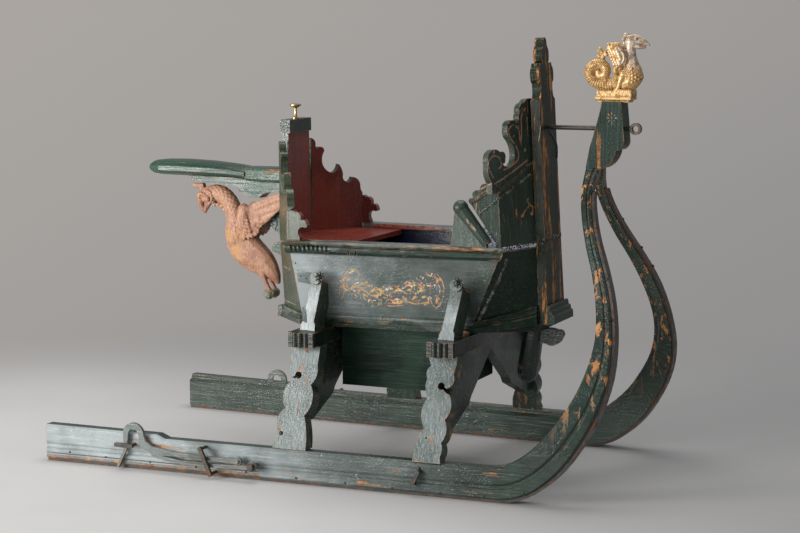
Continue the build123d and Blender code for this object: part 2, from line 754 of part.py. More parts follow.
# Arm: a round-ended roll along the raked rear edge of each wing, on a web board that stands on the rail
ball_centre = Vector(372, -210, 764)
roll_foot = Vector(449, -208, 667)
with BuildPart() as baluster:
    axis = (roll_foot - ball_centre)
    with Locations(Location(ball_centre)):
        Sphere(21)
    with BuildSketch(Plane(origin=ball_centre, z_dir=axis)):
        Circle(19)
    with BuildSketch(Plane(origin=roll_foot, z_dir=axis)):
        Circle(15)
    loft(ruled=True)
    with BuildSketch(Plane.XZ.offset(-ball_centre.Y - 8)):
        with BuildLine():
            Polyline((356, 752), (344, rail_z), (449, rail_z), (449, 667), (372, 764), close=True)
        make_face()
    extrude(amount=16)
    split(bisect_by=Plane.XY.offset(rail_z + rail_board + seat_gap), keep=Keep.TOP)
export_pair(baluster, "baluster")

# Struts from the beam ends up to the tub, arched at the head, with a round rosette
with BuildPart() as tub_clearance:
    sections = []
    for z in (beam_bottom, floor_z, rail_z):
        outer, inner = ring_offset(z, -seat_gap), ring_offset(z, strut_depth)
        quad = [outer[1], outer[2], inner[2], inner[1]]
        sections.append(polygon_on(Plane.XY.offset(z), [(p.X, p.Y) for p in quad]))
    loft(sections, ruled=True)
with BuildPart() as skirt_clearance:
    reach = skirt_reach + seat_gap
    band = [(-1, floor_z - seat_gap), (reach, floor_z - seat_gap), (reach, floor_z + skirt_height * 0.7),
            (0.6 * reach, floor_z + skirt_height + seat_gap), (-1, floor_z + skirt_height + seat_gap)]
    loft([strip_section(1, u, band) for u in (0, 1)], ruled=True)

strut_foot_z = beam_bottom + beam_height
for end, leg_x in leg_places:
    beam_x = leg_x + beam_shift
    foot_half_y = leg_outer(strut_foot_z)
    tub_share = (rosette_z - floor_z) / (rail_z - floor_z)
    panel_share = (beam_x - rear_high[0]) / (front_high[0] - rear_high[0])
    wall_rear = lerp(rear_low[1], rear_high[1], tub_share)
    wall_half = lerp(wall_rear, lerp(front_low[1], front_high[1], tub_share), panel_share)
    head_half_y = wall_half + (30.0 if end == "rear" else 44.0)
    rise = rosette_z - strut_foot_z
    lean = atan2(foot_half_y - head_half_y, rise)
    plane = Plane(origin=(beam_x, -foot_half_y, strut_foot_z), x_dir=(1, 0, 0),
                  z_dir=(0, -cos(lean), sin(lean)))
    length = rise / cos(lean)
    half = strut_width / 2
    with BuildPart() as strut:
        with BuildSketch(plane):
            with BuildLine():
                arcs([(-half - 9, -12, 0), (half + 9, -12, 0), (half + 5, 8, 0), (half, 26, -2),
                      (half + 10, length, 0), (-half + 10, length, 17), (-half, 26, 0),
                      (-half - 5, 8, -2), (-half - 9, -12, 0)])
            make_face()
        extrude(amount=-strut_depth)
        split(bisect_by=Plane.XY.offset(strut_foot_z + seat_gap), keep=Keep.TOP)
        with BuildSketch(plane):
            with Locations((8, length - 2)):
                Circle(rosette_radius)
        extrude(amount=rosette_height)
        add(tub_clearance.part, mode=Mode.SUBTRACT)
        add(skirt_clearance.part, mode=Mode.SUBTRACT)
    export_pair(strut, f"strut_{end}")

# Rounded post and knee under the prow
post_top_x, post_foot_x, post_foot_z = 512.0, 484.0, 256.0
with BuildPart() as prow_post:
    top_z = floor_z - seat_gap
    rows = [(post_foot_x, post_foot_z, 15, 15), (post_foot_x + 1, post_foot_z + 8, 24, 24),
            (post_foot_x + 4, post_foot_z + 22, 29, 28), (post_foot_x + 10, post_foot_z + 60, 30, 28),
            (post_top_x, top_z + 12, 27, 27)]
    loft(limb(rows), ruled=True)
    with BuildSketch(Plane.XZ):
        with BuildLine():
            arcs([(500, top_z, 0), (500, 372, 0), (548, 368, 0), (592, 386, -12), (580, 408, -10),
                  (548, top_z + 4, 0), (500, top_z, 0)])
        make_face()
    extrude(amount=12, both=True)
    split(bisect_by=Plane.XY.offset(top_z), keep=Keep.BOTTOM)
export(prow_post, "prow_post")

# Saddle for the driver: a long rounded paddle. Rows of x, middle height, half depth, half width
saddle_rows = [
    (-722, 830, 4, 16), (-716, 830, 13, 34), (-700, 831, 20, 50), (-670, 831, 23, 60), (-600, 831, 24, 64),
    (-520, 829, 23, 62), (-440, 825, 20, 56), (-385, 819, 19, 50),
]
back_face_x = back_high[0] - seat_gap
saddle_tail = [(-385, 819, 20, 44), (-340, 817, 22, 42), (back_face_x - seat_gap, 817, 22, 42)]
with BuildPart() as saddle:
    loft(limb(saddle_rows, sides=16, squareness=2.6), ruled=True)
    loft(limb(saddle_tail, sides=16, squareness=6), ruled=True)
export(saddle, "saddle")

# Bearer bar under the saddle, with its carved console and the scroll bracket on the back board
bearer_half, bracket_half = 24.0, 9.0
bearer = [
    (-590, 812, 0), (-578, 800, 0), (-556, 789, -3), (-512, 787, 0), (-419, 781, 0), (-417, 771, 0),
    (-400, 760, -2), (-347, 748, -6), (-318, 765, 4), (-290, 768, 0), (back_face_x, 768, 0),
]
with BuildPart() as saddle_bearer:
    with BuildSketch(Plane.XZ):
        with BuildLine():
            arcs(bearer)
            Polyline((back_face_x, 768), (back_face_x, 820), (-590, 820), (-590, 812))
        make_face()
    extrude(amount=bearer_half, both=True)
    with BuildSketch(Plane.XZ):
        with BuildLine():
            arcs([(back_face_x, 770, 0), (-282, 770, 0), (-284, 706, 6), (-312, 690, -5), (-308, 655, -10),
                  (-284, 640, -4), (-290, 616, 4), (-312, 608, -4), (-304, 584, -8), (-272, 566, 3),
                  (back_face_x, 556, 0), (back_face_x, 770, 0)])
        make_face()
    extrude(amount=bracket_half, both=True)
    add(saddle.part, mode=Mode.SUBTRACT)
saddle_bearer.part = max(saddle_bearer.part.solids(), key=lambda solid: solid.volume)
with BuildPart() as bearer_seated:
    add(saddle_bearer.part.moved(Location((0, 0, -seat_gap))))
    add(saddle.part, mode=Mode.SUBTRACT)
    split(bisect_by=Plane.YZ.offset(back_face_x), keep=Keep.BOTTOM)
export(bearer_seated, "saddle_bearer")

# Griffin that props the saddle: rows of x, z, half depth and half width from the beak to the tail
griffin_back = [
    (-543, 699, 3, 3), (-551, 714, 9, 8), (-551, 736, 17, 14), (-540, 754, 20, 18), (-512, 758, 21, 17),
    (-480, 752, 24, 18), (-456, 731, 25, 19), (-444, 702, 27, 21), (-438, 668, 36, 25), (-430, 634, 47, 31),
    (-412, 604, 55, 35), (-386, 580, 54, 35), (-358, 560, 46, 31), (-334, 541, 36, 26), (-314, 520, 22, 19),
    (-300, 496, 7, 8),
]
griffin_wing = [
    (-402, 625, 0), (-381, 622, 3), (-357, 624, 4), (-340, 631, 3), (-328, 651, 4), (-324, 680, 3),
    (-306, 698, 3), (-282, 712, 2), (-256, 734, 2), (-254, 768, 0), (-304, 742, -3), (-366, 736, 4),
    (-397, 712, 8), (-401, 653, -4), (-402, 625, 0),
]
wing_near, wing_far = 24.0, 38.0
with BuildPart() as griffin:
    loft(limb(griffin_back, sides=14, squareness=2.1), ruled=True)
    with Locations((-566, 0, 778)):
        Box(34, 18, 12)
    with Locations((-553, 0, 768)):
        Box(12, 16, 20)
    for side in (-1, 1):
        with BuildSketch(Plane.XZ.offset(-side * (wing_near + wing_far) / 2)):
            with BuildLine():
                arcs(griffin_wing)
            make_face()
        extrude(amount=(wing_far - wing_near) / 2, both=True)
        with Locations((-380, side * wing_near, 676)):
            Cylinder(18, 2 * (wing_far - wing_near), rotation=(90, 0, 0))
        loft(limb([(-346, 530, 18, 10), (-335, 500, 9, 8), (-326, 474, 7, 7)], y=side * 17), ruled=True)
        with Locations((-324, side * 17, 461)):
            Sphere(16)
griffin.part = griffin.part - bearer_seated.part
griffin.part = max(griffin.part.solids(), key=lambda solid: solid.volume)
export(griffin, "griffin")

# Brake claws: a foot loop above the runner and a spike behind, with a leaf and a rod to a front eye
bar_thickness = 10.0
claw_gap = 5.0
pivot_x, pivot_z = -160.0, 45.0
loop_x, loop_z, loop_radius, loop_hole = -540.0, 104.0, 34.0, 17.0
with BuildPart() as brake_claw:
    y_face = runner_face(loop_x - loop_radius) + claw_gap
    claw_plane = Plane.XZ.offset(y_face)
    with BuildSketch(claw_plane):
        with Locations((loop_x, loop_z)):
            Circle(loop_radius)
            Circle(loop_hole, mode=Mode.SUBTRACT)
        with Locations((loop_x, loop_z - 40)):
            Rectangle(120, 80, mode=Mode.SUBTRACT)
        with BuildLine():
            Polyline((loop_x - loop_radius, loop_z), (-571, 66), (-597, 6), (-592, 3), (-563, 60),
                     (loop_x - loop_hole, loop_z), close=True)
        make_face()
        with BuildLine():
            Polyline((loop_x + loop_hole, loop_z), (loop_x + loop_hole, 84), (-505, 62), (-470, 50),
                     (-404, 53), (-316, 52), (-212, 50), (-206, 60), (-212, 62), (-316, 62), (-404, 64),
                     (-480, 74), (-500, 88), (loop_x + loop_radius, loop_z), close=True)
        make_face()
        with BuildLine():
            Polyline((-496, 66), (-476, 44), (-440, 39), (-384, 32), (-320, 33), (-278, 32), (-178, 36),
                     (pivot_x, pivot_z - 9), (pivot_x, pivot_z + 9), (-178, 47), (-278, 43), (-320, 44),
                     (-384, 43), (-440, 50), (-480, 70), close=True)
        make_face()
        with Locations((-204, 57)):
            Circle(11)
        with Locations((pivot_x, pivot_z)):
            Circle(14)
            Circle(bolt_radius + seat_gap, mode=Mode.SUBTRACT)
    extrude(amount=bar_thickness)
    with BuildSketch(Plane.XZ.offset(y_face + bar_thickness)):
        with Locations((-204, 57)):
            Circle(9)
    extrude(amount=6, taper=30)
export_pair(brake_claw, "brake_claw")

with BuildPart() as claw_rivet:
    rivet_root = runner_face(pivot_x) + seat_gap
    reach = y_face + bar_thickness + claw_gap - rivet_root
    with BuildSketch(Plane.XZ.offset(rivet_root)):
        with Locations((pivot_x, pivot_z)):
            Circle(bolt_radius)
    extrude(amount=reach)
    with BuildSketch(Plane.XZ.offset(rivet_root + reach)):
        with Locations((pivot_x, pivot_z)):
            Circle(bolt_radius + 6)
    extrude(amount=7, taper=25)
export_pair(claw_rivet, "claw_rivet")

# Guide iron of each claw: a pin with a long head behind, and a slanting staple over the bars
guide_pin_x, guide_pin_z = -543.5, 73.0
guide_near = y_face + bar_thickness + claw_gap
staple_ends = ((-316, 84), (-286, 15))
with BuildPart() as claw_guide:
    for x, z in ((guide_pin_x, guide_pin_z), *staple_ends):
        root = runner_face(x) + seat_gap
        with BuildSketch(Plane.XZ.offset(root)):
            with Locations((x, z)):
                Circle(4.5)
        extrude(amount=guide_near - root)
    (high_x, high_z), (low_x, low_z) = staple_ends
    with BuildSketch(Plane.XZ.offset(guide_near)):
        with Locations((guide_pin_x - 22, guide_pin_z)):
            RectangleRounded(60, 12, 4)
        with Locations(Location(((high_x + low_x) / 2, (high_z + low_z) / 2, 0),
                                (0, 0, degrees(atan2(high_z - low_z, high_x - low_x))))):
            RectangleRounded(hypot(high_x - low_x, high_z - low_z) + 14, 11, 5)
    extrude(amount=9)
export_pair(claw_guide, "claw_guide")

# Forged staples in the outer faces of the runners, where a trace or a stretcher strap is hooked
staple_x, staple_z, staple_radius, staple_wire = 322.0, 52.0, 17.0, 5.0
with BuildPart() as runner_staple:
    root = runner_face(staple_x - staple_radius) + seat_gap
    with BuildSketch(Plane.XZ.offset(root)):
        for side in (-1, 1):
            with Locations((staple_x + side * staple_radius * 0.5, staple_z + side * staple_radius)):
                Circle(staple_wire)
    extrude(amount=12)
    with BuildSketch(Plane.XZ.offset(root + 12 - staple_wire)):
        with Locations(Location((staple_x, staple_z, 0), (0, 0, 63))):
            RectangleRounded(2 * staple_radius * 1.12 + 2 * staple_wire, 2 * staple_wire, staple_wire - 0.5)
    extrude(amount=2 * staple_wire)
export_pair(runner_staple, "runner_staple")
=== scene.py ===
import bpy
import bmesh
import math
from mathutils import Matrix, Vector
from mathutils.bvhtree import BVHTree


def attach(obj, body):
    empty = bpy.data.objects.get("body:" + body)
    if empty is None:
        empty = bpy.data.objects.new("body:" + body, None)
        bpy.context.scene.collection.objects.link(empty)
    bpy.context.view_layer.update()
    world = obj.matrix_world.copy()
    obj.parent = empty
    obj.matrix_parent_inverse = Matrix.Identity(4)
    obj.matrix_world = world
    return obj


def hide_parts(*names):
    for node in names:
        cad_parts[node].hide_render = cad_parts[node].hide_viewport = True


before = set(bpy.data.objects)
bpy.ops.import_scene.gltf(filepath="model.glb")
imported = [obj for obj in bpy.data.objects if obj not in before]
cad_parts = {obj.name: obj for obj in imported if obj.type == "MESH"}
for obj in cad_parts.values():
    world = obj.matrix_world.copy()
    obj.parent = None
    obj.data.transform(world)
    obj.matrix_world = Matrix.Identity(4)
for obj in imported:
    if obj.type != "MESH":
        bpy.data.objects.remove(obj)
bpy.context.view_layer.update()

print("sled: frame loaded")

# Camera at the photograph's viewing angle, in metres, degrees and pixels
view = {
    "place": (2.3776, -5.0935, 1.3124),
    "heading": 24.13,      # turned from +Y towards -X
    "pitch": 7.65,         # looking down
    "roll": -0.33,
    "focalPixels": 1951.4,
    "imageSize": (800, 533),
    "sensorWidth": 36,
    "farthest": 800,       # beyond the rim of the floor
}


def addCamera(spec):
    heading, pitch, roll = (math.radians(spec[k]) for k in ("heading", "pitch", "roll"))
    forward = Vector((-math.sin(heading) * math.cos(pitch), math.cos(heading) * math.cos(pitch), -math.sin(pitch)))
    right = Vector((math.cos(heading), math.sin(heading), 0))
    up = right.cross(forward)
    rolledRight = math.cos(roll) * right + math.sin(roll) * up
    rolledUp = math.cos(roll) * up - math.sin(roll) * right
    data = bpy.data.cameras.new("camera")
    data.sensor_width = spec["sensorWidth"]
    data.lens = spec["focalPixels"] * spec["sensorWidth"] / spec["imageSize"][0]
    data.clip_end = spec["farthest"]
    camera = bpy.data.objects.new("camera", data)
    basis = Matrix((rolledRight, rolledUp, -forward)).transposed().to_4x4()
    camera.matrix_world = Matrix.Translation(spec["place"]) @ basis
    bpy.context.scene.collection.objects.link(camera)
    bpy.context.scene.camera = camera


addCamera(view)


# A node tree with short calls: each call adds a node, sets its values and links its inputs
class Tree:
    def __init__(self, name):
        self.material = bpy.data.materials.new(name)
        self.material.use_nodes = True
        self.nodes = self.material.node_tree.nodes
        self.links = self.material.node_tree.links
        self.nodes.clear()
        self.place = self.add("ShaderNodeTexCoord").outputs["Object"]

    def add(self, kind, settings=None, inputs=None):
        node = self.nodes.new(kind)
        for key, value in (settings or {}).items():
            setattr(node, key, value)
        for key, value in (inputs or {}).items():
            self.feed(node.inputs[key], value)
        return node

    def feed(self, socket, value):
        if isinstance(value, bpy.types.NodeSocket):
            self.links.new(value, socket)
        elif hasattr(socket.default_value, "__len__") and not hasattr(value, "__len__"):
            socket.default_value = (value,) * len(socket.default_value)
        elif hasattr(value, "__len__") and len(value) == 3 and len(socket.default_value) == 4:
            socket.default_value = (*value, 1)
        else:
            socket.default_value = value

    def math(self, operation, *values, clamp=False):
        settings = {"operation": operation, "use_clamp": clamp}
        return self.add("ShaderNodeMath", settings, dict(enumerate(values))).outputs[0]

    def plus(self, a, b, clamp=False):
        return self.math("ADD", a, b, clamp=clamp)

    def minus(self, a, b):
        return self.math("SUBTRACT", a, b)

    def times(self, a, b, clamp=False):
        return self.math("MULTIPLY", a, b, clamp=clamp)

    def vectors(self, operation, inputs, output="Vector"):
        return self.add("ShaderNodeVectorMath", {"operation": operation}, inputs).outputs[output]

    def split(self):
        return self.add("ShaderNodeSeparateXYZ", None, {0: self.place}).outputs

    def geometry(self, output):
        return self.add("ShaderNodeNewGeometry").outputs[output]

    def ramp(self, value, low, high):
        inputs = {"Value": value, "From Min": low, "From Max": high}
        return self.add("ShaderNodeMapRange", {"interpolation_type": "SMOOTHSTEP"}, inputs).outputs[0]

    def mapped(self, scale, turn=(0, 0, 0), source=None):
        inputs = {"Vector": source or self.place, "Scale": scale, "Rotation": tuple(math.radians(v) for v in turn)}
        return self.add("ShaderNodeMapping", None, inputs).outputs[0]

    def cloud(self, scale, detail=4.0, rough=0.55, source=None, output="Fac"):
        inputs = {"Vector": source or self.place, "Scale": scale, "Detail": detail, "Roughness": rough}
        return self.add("ShaderNodeTexNoise", None, inputs).outputs[output]

    def network(self, scale, source):    # how far the nearest line of a net is
        inputs = {"Vector": source, "Scale": scale}
        return self.add("ShaderNodeTexVoronoi", {"feature": "DISTANCE_TO_EDGE"}, inputs).outputs["Distance"]

    def mix(self, factor, a, b):
        node = self.add("ShaderNodeMix", {"data_type": "RGBA"})
        for index, value in ((0, factor), (6, a), (7, b)):    # the sockets that an RGBA mix uses
            self.feed(node.inputs[index], value)
        return node.outputs[2]

    def warped(self, amount, scale):
        wobble = self.vectors("SUBTRACT", {0: self.cloud(scale, 2.0, output="Color"), 1: (0.5, 0.5, 0.5)})
        return self.vectors("ADD", {0: self.place, 1: self.vectors("SCALE", {0: wobble, "Scale": amount})})

    def edges(self, radius):    # above 0 where the surface turns within the radius
        bevel = self.add("ShaderNodeBevel", {"samples": 6}, {"Radius": radius}).outputs[0]
        return self.minus(1.0, self.vectors("DOT_PRODUCT", {0: bevel, 1: self.geometry("Normal")}, "Value"))

    def bump(self, height, distance, strength):
        inputs = {"Height": height, "Distance": distance, "Strength": strength}
        return self.add("ShaderNodeBump", None, inputs).outputs[0]

    def finish(self, color, roughness, normal=None, **sockets):
        inputs = {"Base Color": color, "Roughness": roughness, **sockets}
        if normal is not None:
            inputs["Normal"] = normal
        shader = self.add("ShaderNodeBsdfPrincipled", None, inputs)
        self.links.new(shader.outputs[0], self.add("ShaderNodeOutputMaterial").inputs[0])
        return self.material


# Old oil paint on wood: two shades in patches, with a pale layer on top that is partly dust and partly painted sheen
paintKinds = {
    "green": {"color": (0.017, 0.036, 0.025), "second": (0.009, 0.019, 0.013), "dustAndSheen": (0.090, 0.108, 0.098)},
    "deep": {"color": (0.009, 0.017, 0.012), "second": (0.005, 0.009, 0.007), "dustAndSheen": (0.045, 0.055, 0.045)},
    "olive": {"color": (0.040, 0.055, 0.026), "second": (0.022, 0.034, 0.018), "dustAndSheen": (0.13, 0.15, 0.11)},
    "umber": {"color": (0.016, 0.024, 0.013), "second": (0.010, 0.015, 0.009), "dustAndSheen": (0.05, 0.055, 0.04)},
    "bottle": {"color": (0.016, 0.056, 0.031), "second": (0.010, 0.032, 0.019), "dustAndSheen": (0.11, 0.15, 0.12)},
    "pine": {"color": (0.030, 0.050, 0.036), "second": (0.016, 0.029, 0.020), "dustAndSheen": (0.13, 0.15, 0.135)},
    # painted sheen: bright pale grey-blue paint, partly real pale paint and partly the lamps' gloss on near faces
    # painted in
    "palePaintAndSheen": {"color": (0.300, 0.335, 0.340), "second": (0.170, 0.200, 0.195), "dustAndSheen": (0.52, 0.55, 0.56)},
    "sage": {"color": (0.075, 0.092, 0.084), "second": (0.030, 0.048, 0.037), "dustAndSheen": (0.17, 0.19, 0.18)},
    # pale grey paint, partly real and partly painted sheen
    "greyPaintAndSheen": {"color": (0.130, 0.160, 0.155), "second": (0.048, 0.070, 0.061), "dustAndSheen": (0.31, 0.34, 0.34)},
    "red": {"color": (0.225, 0.040, 0.026), "second": (0.150, 0.028, 0.019), "dustAndSheen": (0.27, 0.090, 0.065)},
    "navy": {"color": (0.012, 0.026, 0.085), "second": (0.007, 0.013, 0.040), "dustAndSheen": (0.07, 0.09, 0.16)},
}
paintWear = {
    "ochre": (0.50, 0.215, 0.065),
    "brown": (0.16, 0.070, 0.035),
    "footDark": (0.10, 0.055, 0.030),         # darker along the foot of the runners, over the shoe
    "footLine": (0.004, 0.006, 0.005),
    "footLineHalf": 0.0016,
    "edgeRadius": 0.0045,
    "crackleScale": 110.0,
    "dustAndSheenShare": 0.35,                    # how much of the pale layer, dust and painted sheen, lies in the grain, the cracks and the specks
    "gloss": 0.15,                        # least roughness
    "streak": (2.2, 7.0, 0.66),           # scale, detail and roughness of the long rubbed streaks
    "bump": (0.0018, 0.6),                # distance, strength
}


def grainScale(axis, along, across):
    return tuple(along if k == axis else across for k in range(3))


# fade is (axis, start, end, other kind), inside is (kind, direction, least dot product), decor is (color, cover),
# foot is (height of the darker foot band, its front end), rise is (no upright streaks, most of them), both heights
def oldPaint(name, kind, axis=0, wear=0.5, streaks=0.0, crackle=1.0, fade=None, inside=None, decor=None, foot=None,
             rise=None, shine=0.55):
    tree = Tree(name)
    xyz = tree.split()
    patches = tree.cloud(7.0, 4.0, 0.6)
    layers = {key: paintKinds[kind][key] for key in ("color", "second", "dustAndSheen")}
    if fade:
        along = tree.plus(xyz[fade[0]], tree.times(tree.minus(patches, 0.5), 0.12))
        share = tree.ramp(along, fade[1], fade[2])
        layers = {key: tree.mix(share, layers[key], paintKinds[fade[3]][key]) for key in layers}
    if inside:
        facing = tree.vectors("DOT_PRODUCT", {0: tree.geometry("True Normal"), 1: inside[1]}, "Value")
        inner = tree.ramp(facing, inside[2], inside[2] + 0.08)
        layers = {key: tree.mix(inner, layers[key], paintKinds[inside[0]][key]) for key in layers}
    fibres = tree.cloud(2.0, 5.0, 0.6, source=tree.mapped(grainScale(axis, 3.0, 70.0)))
    color = tree.mix(tree.ramp(patches, 0.38, 0.64), layers["color"], layers["second"])

    # Fine crackle, whose cracks lie a little lower, and pale specks and blisters
    crackLine = tree.ramp(tree.network(paintWear["crackleScale"], tree.warped(0.010, 45.0)), 0.0, 0.07)
    crackLine = tree.times(tree.minus(1.0, crackLine), tree.ramp(tree.cloud(6.0, 3.0), 0.42, 0.60))
    crackLine = tree.times(crackLine, crackle)
    specks = tree.ramp(tree.cloud(230.0, 2.0, 0.7), 0.68, 0.76)
    specks = tree.times(specks, tree.ramp(tree.cloud(9.0, 3.0), 0.45, 0.62))
    # the grain, the cracks and the specks take the pale layer: dust, partly painted sheen
    for dustAndSheenMask in (tree.ramp(fibres, 0.50, 0.74), crackLine, specks):
        color = tree.mix(tree.times(dustAndSheenMask, paintWear["dustAndSheenShare"]), color, layers["dustAndSheen"])

    if decor:    # painted ornament, rubbed away in patches
        rubbedOrnament = tree.plus(tree.cloud(60.0, 5.0, 0.75), tree.times(fibres, 0.35))
        color = tree.mix(tree.ramp(rubbedOrnament, 0.84 - 0.3 * decor[1], 0.94 - 0.3 * decor[1]), color, decor[0])

    # Rubbed edges, chips and streaks down to ochre primer and brown wood
    rough = tree.cloud(38.0, 6.0, 0.7)
    edge = tree.ramp(tree.edges(paintWear["edgeRadius"]), 0.03, 0.20)
    rubbed = tree.ramp(tree.plus(tree.times(edge, 0.36), rough), 0.93 - 0.24 * wear, 1.00 - 0.20 * wear)
    chips = tree.ramp(tree.plus(tree.cloud(12.0, 8.0, 0.74), 0.04 * wear), 0.69, 0.715)
    bare = tree.math("MAXIMUM", rubbed, tree.times(chips, wear, True))
    if streaks > 0:
        long = tree.cloud(*paintWear["streak"], source=tree.mapped(grainScale(axis, 2.2, 21.0)))
        bare = tree.math("MAXIMUM", bare, tree.ramp(long, 0.66 - 0.11 * streaks, 0.69 - 0.09 * streaks))
    if rise:    # upright streaks above the height where the runners sweep up
        long = tree.cloud(*paintWear["streak"], source=tree.mapped(grainScale(2, 2.6, 24.0)))
        bare = tree.math("MAXIMUM", bare, tree.times(tree.ramp(long, 0.545, 0.585), tree.ramp(xyz[2], *rise)))
    if foot:
        rear = tree.math("LESS_THAN", xyz[0], foot[1])
        if inside:
            rear = tree.times(rear, tree.minus(1.0, inner))
        height = tree.plus(xyz[2], tree.times(rough, 0.006))
        low = tree.times(tree.minus(1.0, tree.ramp(height, foot[0], foot[0] + 0.003)), rear)
        color = tree.mix(tree.times(low, 0.6), color, paintWear["footDark"])
        bare = tree.math("MAXIMUM", bare, tree.times(low, tree.ramp(rough, 0.46, 0.62)))
        line = tree.math("COMPARE", xyz[2], foot[0] + 0.004, paintWear["footLineHalf"])
        color = tree.mix(tree.times(tree.times(line, rear), 0.8), color, paintWear["footLine"])
    under = tree.ramp(tree.cloud(30.0, 5.0, 0.7), 0.42, 0.62)
    color = tree.mix(bare, color, tree.mix(under, paintWear["ochre"], paintWear["brown"]))

    roughness = tree.plus(tree.times(tree.cloud(16.0, 4.0), 0.26), paintWear["gloss"])
    roughness = tree.plus(roughness, tree.times(bare, 0.26), True)
    relief = fibres
    for layer, height in ((patches, 0.8), (crackLine, -0.5), (bare, -0.5), (specks, 0.35)):
        relief = tree.plus(relief, tree.times(layer, height))
    normal = tree.bump(relief, *paintWear["bump"])
    return tree.finish(color, roughness, normal, **{"Specular IOR Level": shine})


metals = {
    "iron": (0.060, 0.057, 0.052),
    "rust": (0.120, 0.062, 0.036),
    "brass": (0.62, 0.46, 0.20),
    "tarnish": (0.24, 0.16, 0.07),
}


def ironFinish(name, metal=0.6, dark=1.0):
    tree = Tree(name)
    rust = tree.ramp(tree.cloud(34.0, 6.0, 0.7), 0.46, 0.64)
    clean, rusty = (tuple(dark * part for part in metals[key]) for key in ("iron", "rust"))
    color = tree.mix(rust, clean, rusty)
    normal = tree.bump(tree.cloud(70.0, 3.0), 0.0018, 0.6)
    roughness = tree.plus(tree.times(rust, 0.30), 0.36)
    return tree.finish(color, roughness, normal, Metallic=metal)


def brassFinish(name):
    tree = Tree(name)
    tarnish = tree.ramp(tree.cloud(90.0, 5.0, 0.7), 0.42, 0.62)
    color = tree.mix(tarnish, metals["brass"], metals["tarnish"])
    normal = tree.bump(tree.cloud(140.0, 3.0), 0.0006, 0.4)
    return tree.finish(color, tree.plus(tree.times(tarnish, 0.25), 0.28), normal, Metallic=1.0)


# Gilding worn to gesso on top and forward, browner below
gilding = {
    "gold": (0.62, 0.385, 0.155),
    "shade": (0.30, 0.150, 0.045),
    "gesso": (0.60, 0.54, 0.47),
    "bole": (0.22, 0.125, 0.070),
    "cavity": (0.12, 0.055, 0.02),
}


def gildingFinish(name):
    tree = Tree(name)
    worn = tree.ramp(tree.cloud(85.0, 6.0, 0.7), 0.46, 0.62)
    color = tree.mix(worn, gilding["gold"], gilding["shade"])
    xyz = tree.split()
    upper = tree.times(tree.ramp(xyz[2], 1.100, 1.190), tree.ramp(xyz[0], 0.715, 0.790))
    chalk = tree.plus(tree.cloud(75.0, 6.0, 0.75), tree.times(upper, 0.24))
    color = tree.mix(tree.times(tree.ramp(chalk, 0.60, 0.68), 0.75), color, gilding["gesso"])
    brown = tree.plus(tree.cloud(45.0, 5.0, 0.75), tree.times(upper, 0.12))
    color = tree.mix(tree.times(tree.ramp(brown, 0.60, 0.68), 0.65), color, gilding["bole"])
    cavity = tree.geometry("Pointiness")
    color = tree.mix(tree.ramp(cavity, 0.50, 0.42), color, gilding["cavity"])
    normal = tree.bump(tree.cloud(260.0, 4.0), 0.0010, 0.6)
    return tree.finish(color, tree.plus(tree.times(worn, 0.3), 0.32), normal, Metallic=0.30)


# Bare wood with chisel marks, gilt left on the breast, darker claws and beak, and a mossy foot
carving = {
    "pale": (0.50, 0.27, 0.165),
    "rose": (0.33, 0.150, 0.090),
    "dark": (0.22, 0.090, 0.052),
    "gold": (0.50, 0.27, 0.075),
    "moss": (0.16, 0.17, 0.11),
    "cavity": (0.10, 0.040, 0.022),
}


def carvedWoodFinish(name):
    tree = Tree(name)
    strokes = tree.warped(0.012, 30.0)
    chisel = tree.cloud(2.4, 5.0, 0.65, source=tree.mapped((100, 90, 38), (0, 28, 0), source=strokes))
    age = tree.cloud(16.0, 5.0, 0.65)
    color = tree.mix(tree.ramp(chisel, 0.36, 0.60), carving["rose"], carving["pale"])
    color = tree.mix(tree.times(tree.ramp(age, 0.52, 0.66), 0.55), color, carving["dark"])
    xyz = tree.split()
    breast = tree.times(tree.ramp(xyz[0], -0.385, -0.435), tree.ramp(xyz[2], 0.735, 0.60))
    gold = tree.times(breast, tree.ramp(tree.cloud(24.0, 4.0), 0.44, 0.60))
    color = tree.mix(tree.times(gold, 0.6), color, carving["gold"])
    beak = tree.times(tree.ramp(xyz[0], -0.526, -0.536), tree.ramp(xyz[2], 0.744, 0.728))
    shank = tree.ramp(xyz[2], 0.540, 0.505)
    color = tree.mix(tree.times(tree.math("MAXIMUM", beak, shank), 0.55), color, carving["dark"])
    mossy = tree.times(tree.ramp(xyz[2], 0.478, 0.468), tree.ramp(age, 0.44, 0.52))
    color = tree.mix(mossy, color, carving["moss"])
    cavity = tree.geometry("Pointiness")
    color = tree.mix(tree.ramp(cavity, 0.50, 0.43), color, carving["cavity"])
    normal = tree.bump(chisel, 0.0022, 0.75)
    return tree.finish(color, tree.plus(tree.times(age, 0.2), 0.40), normal)


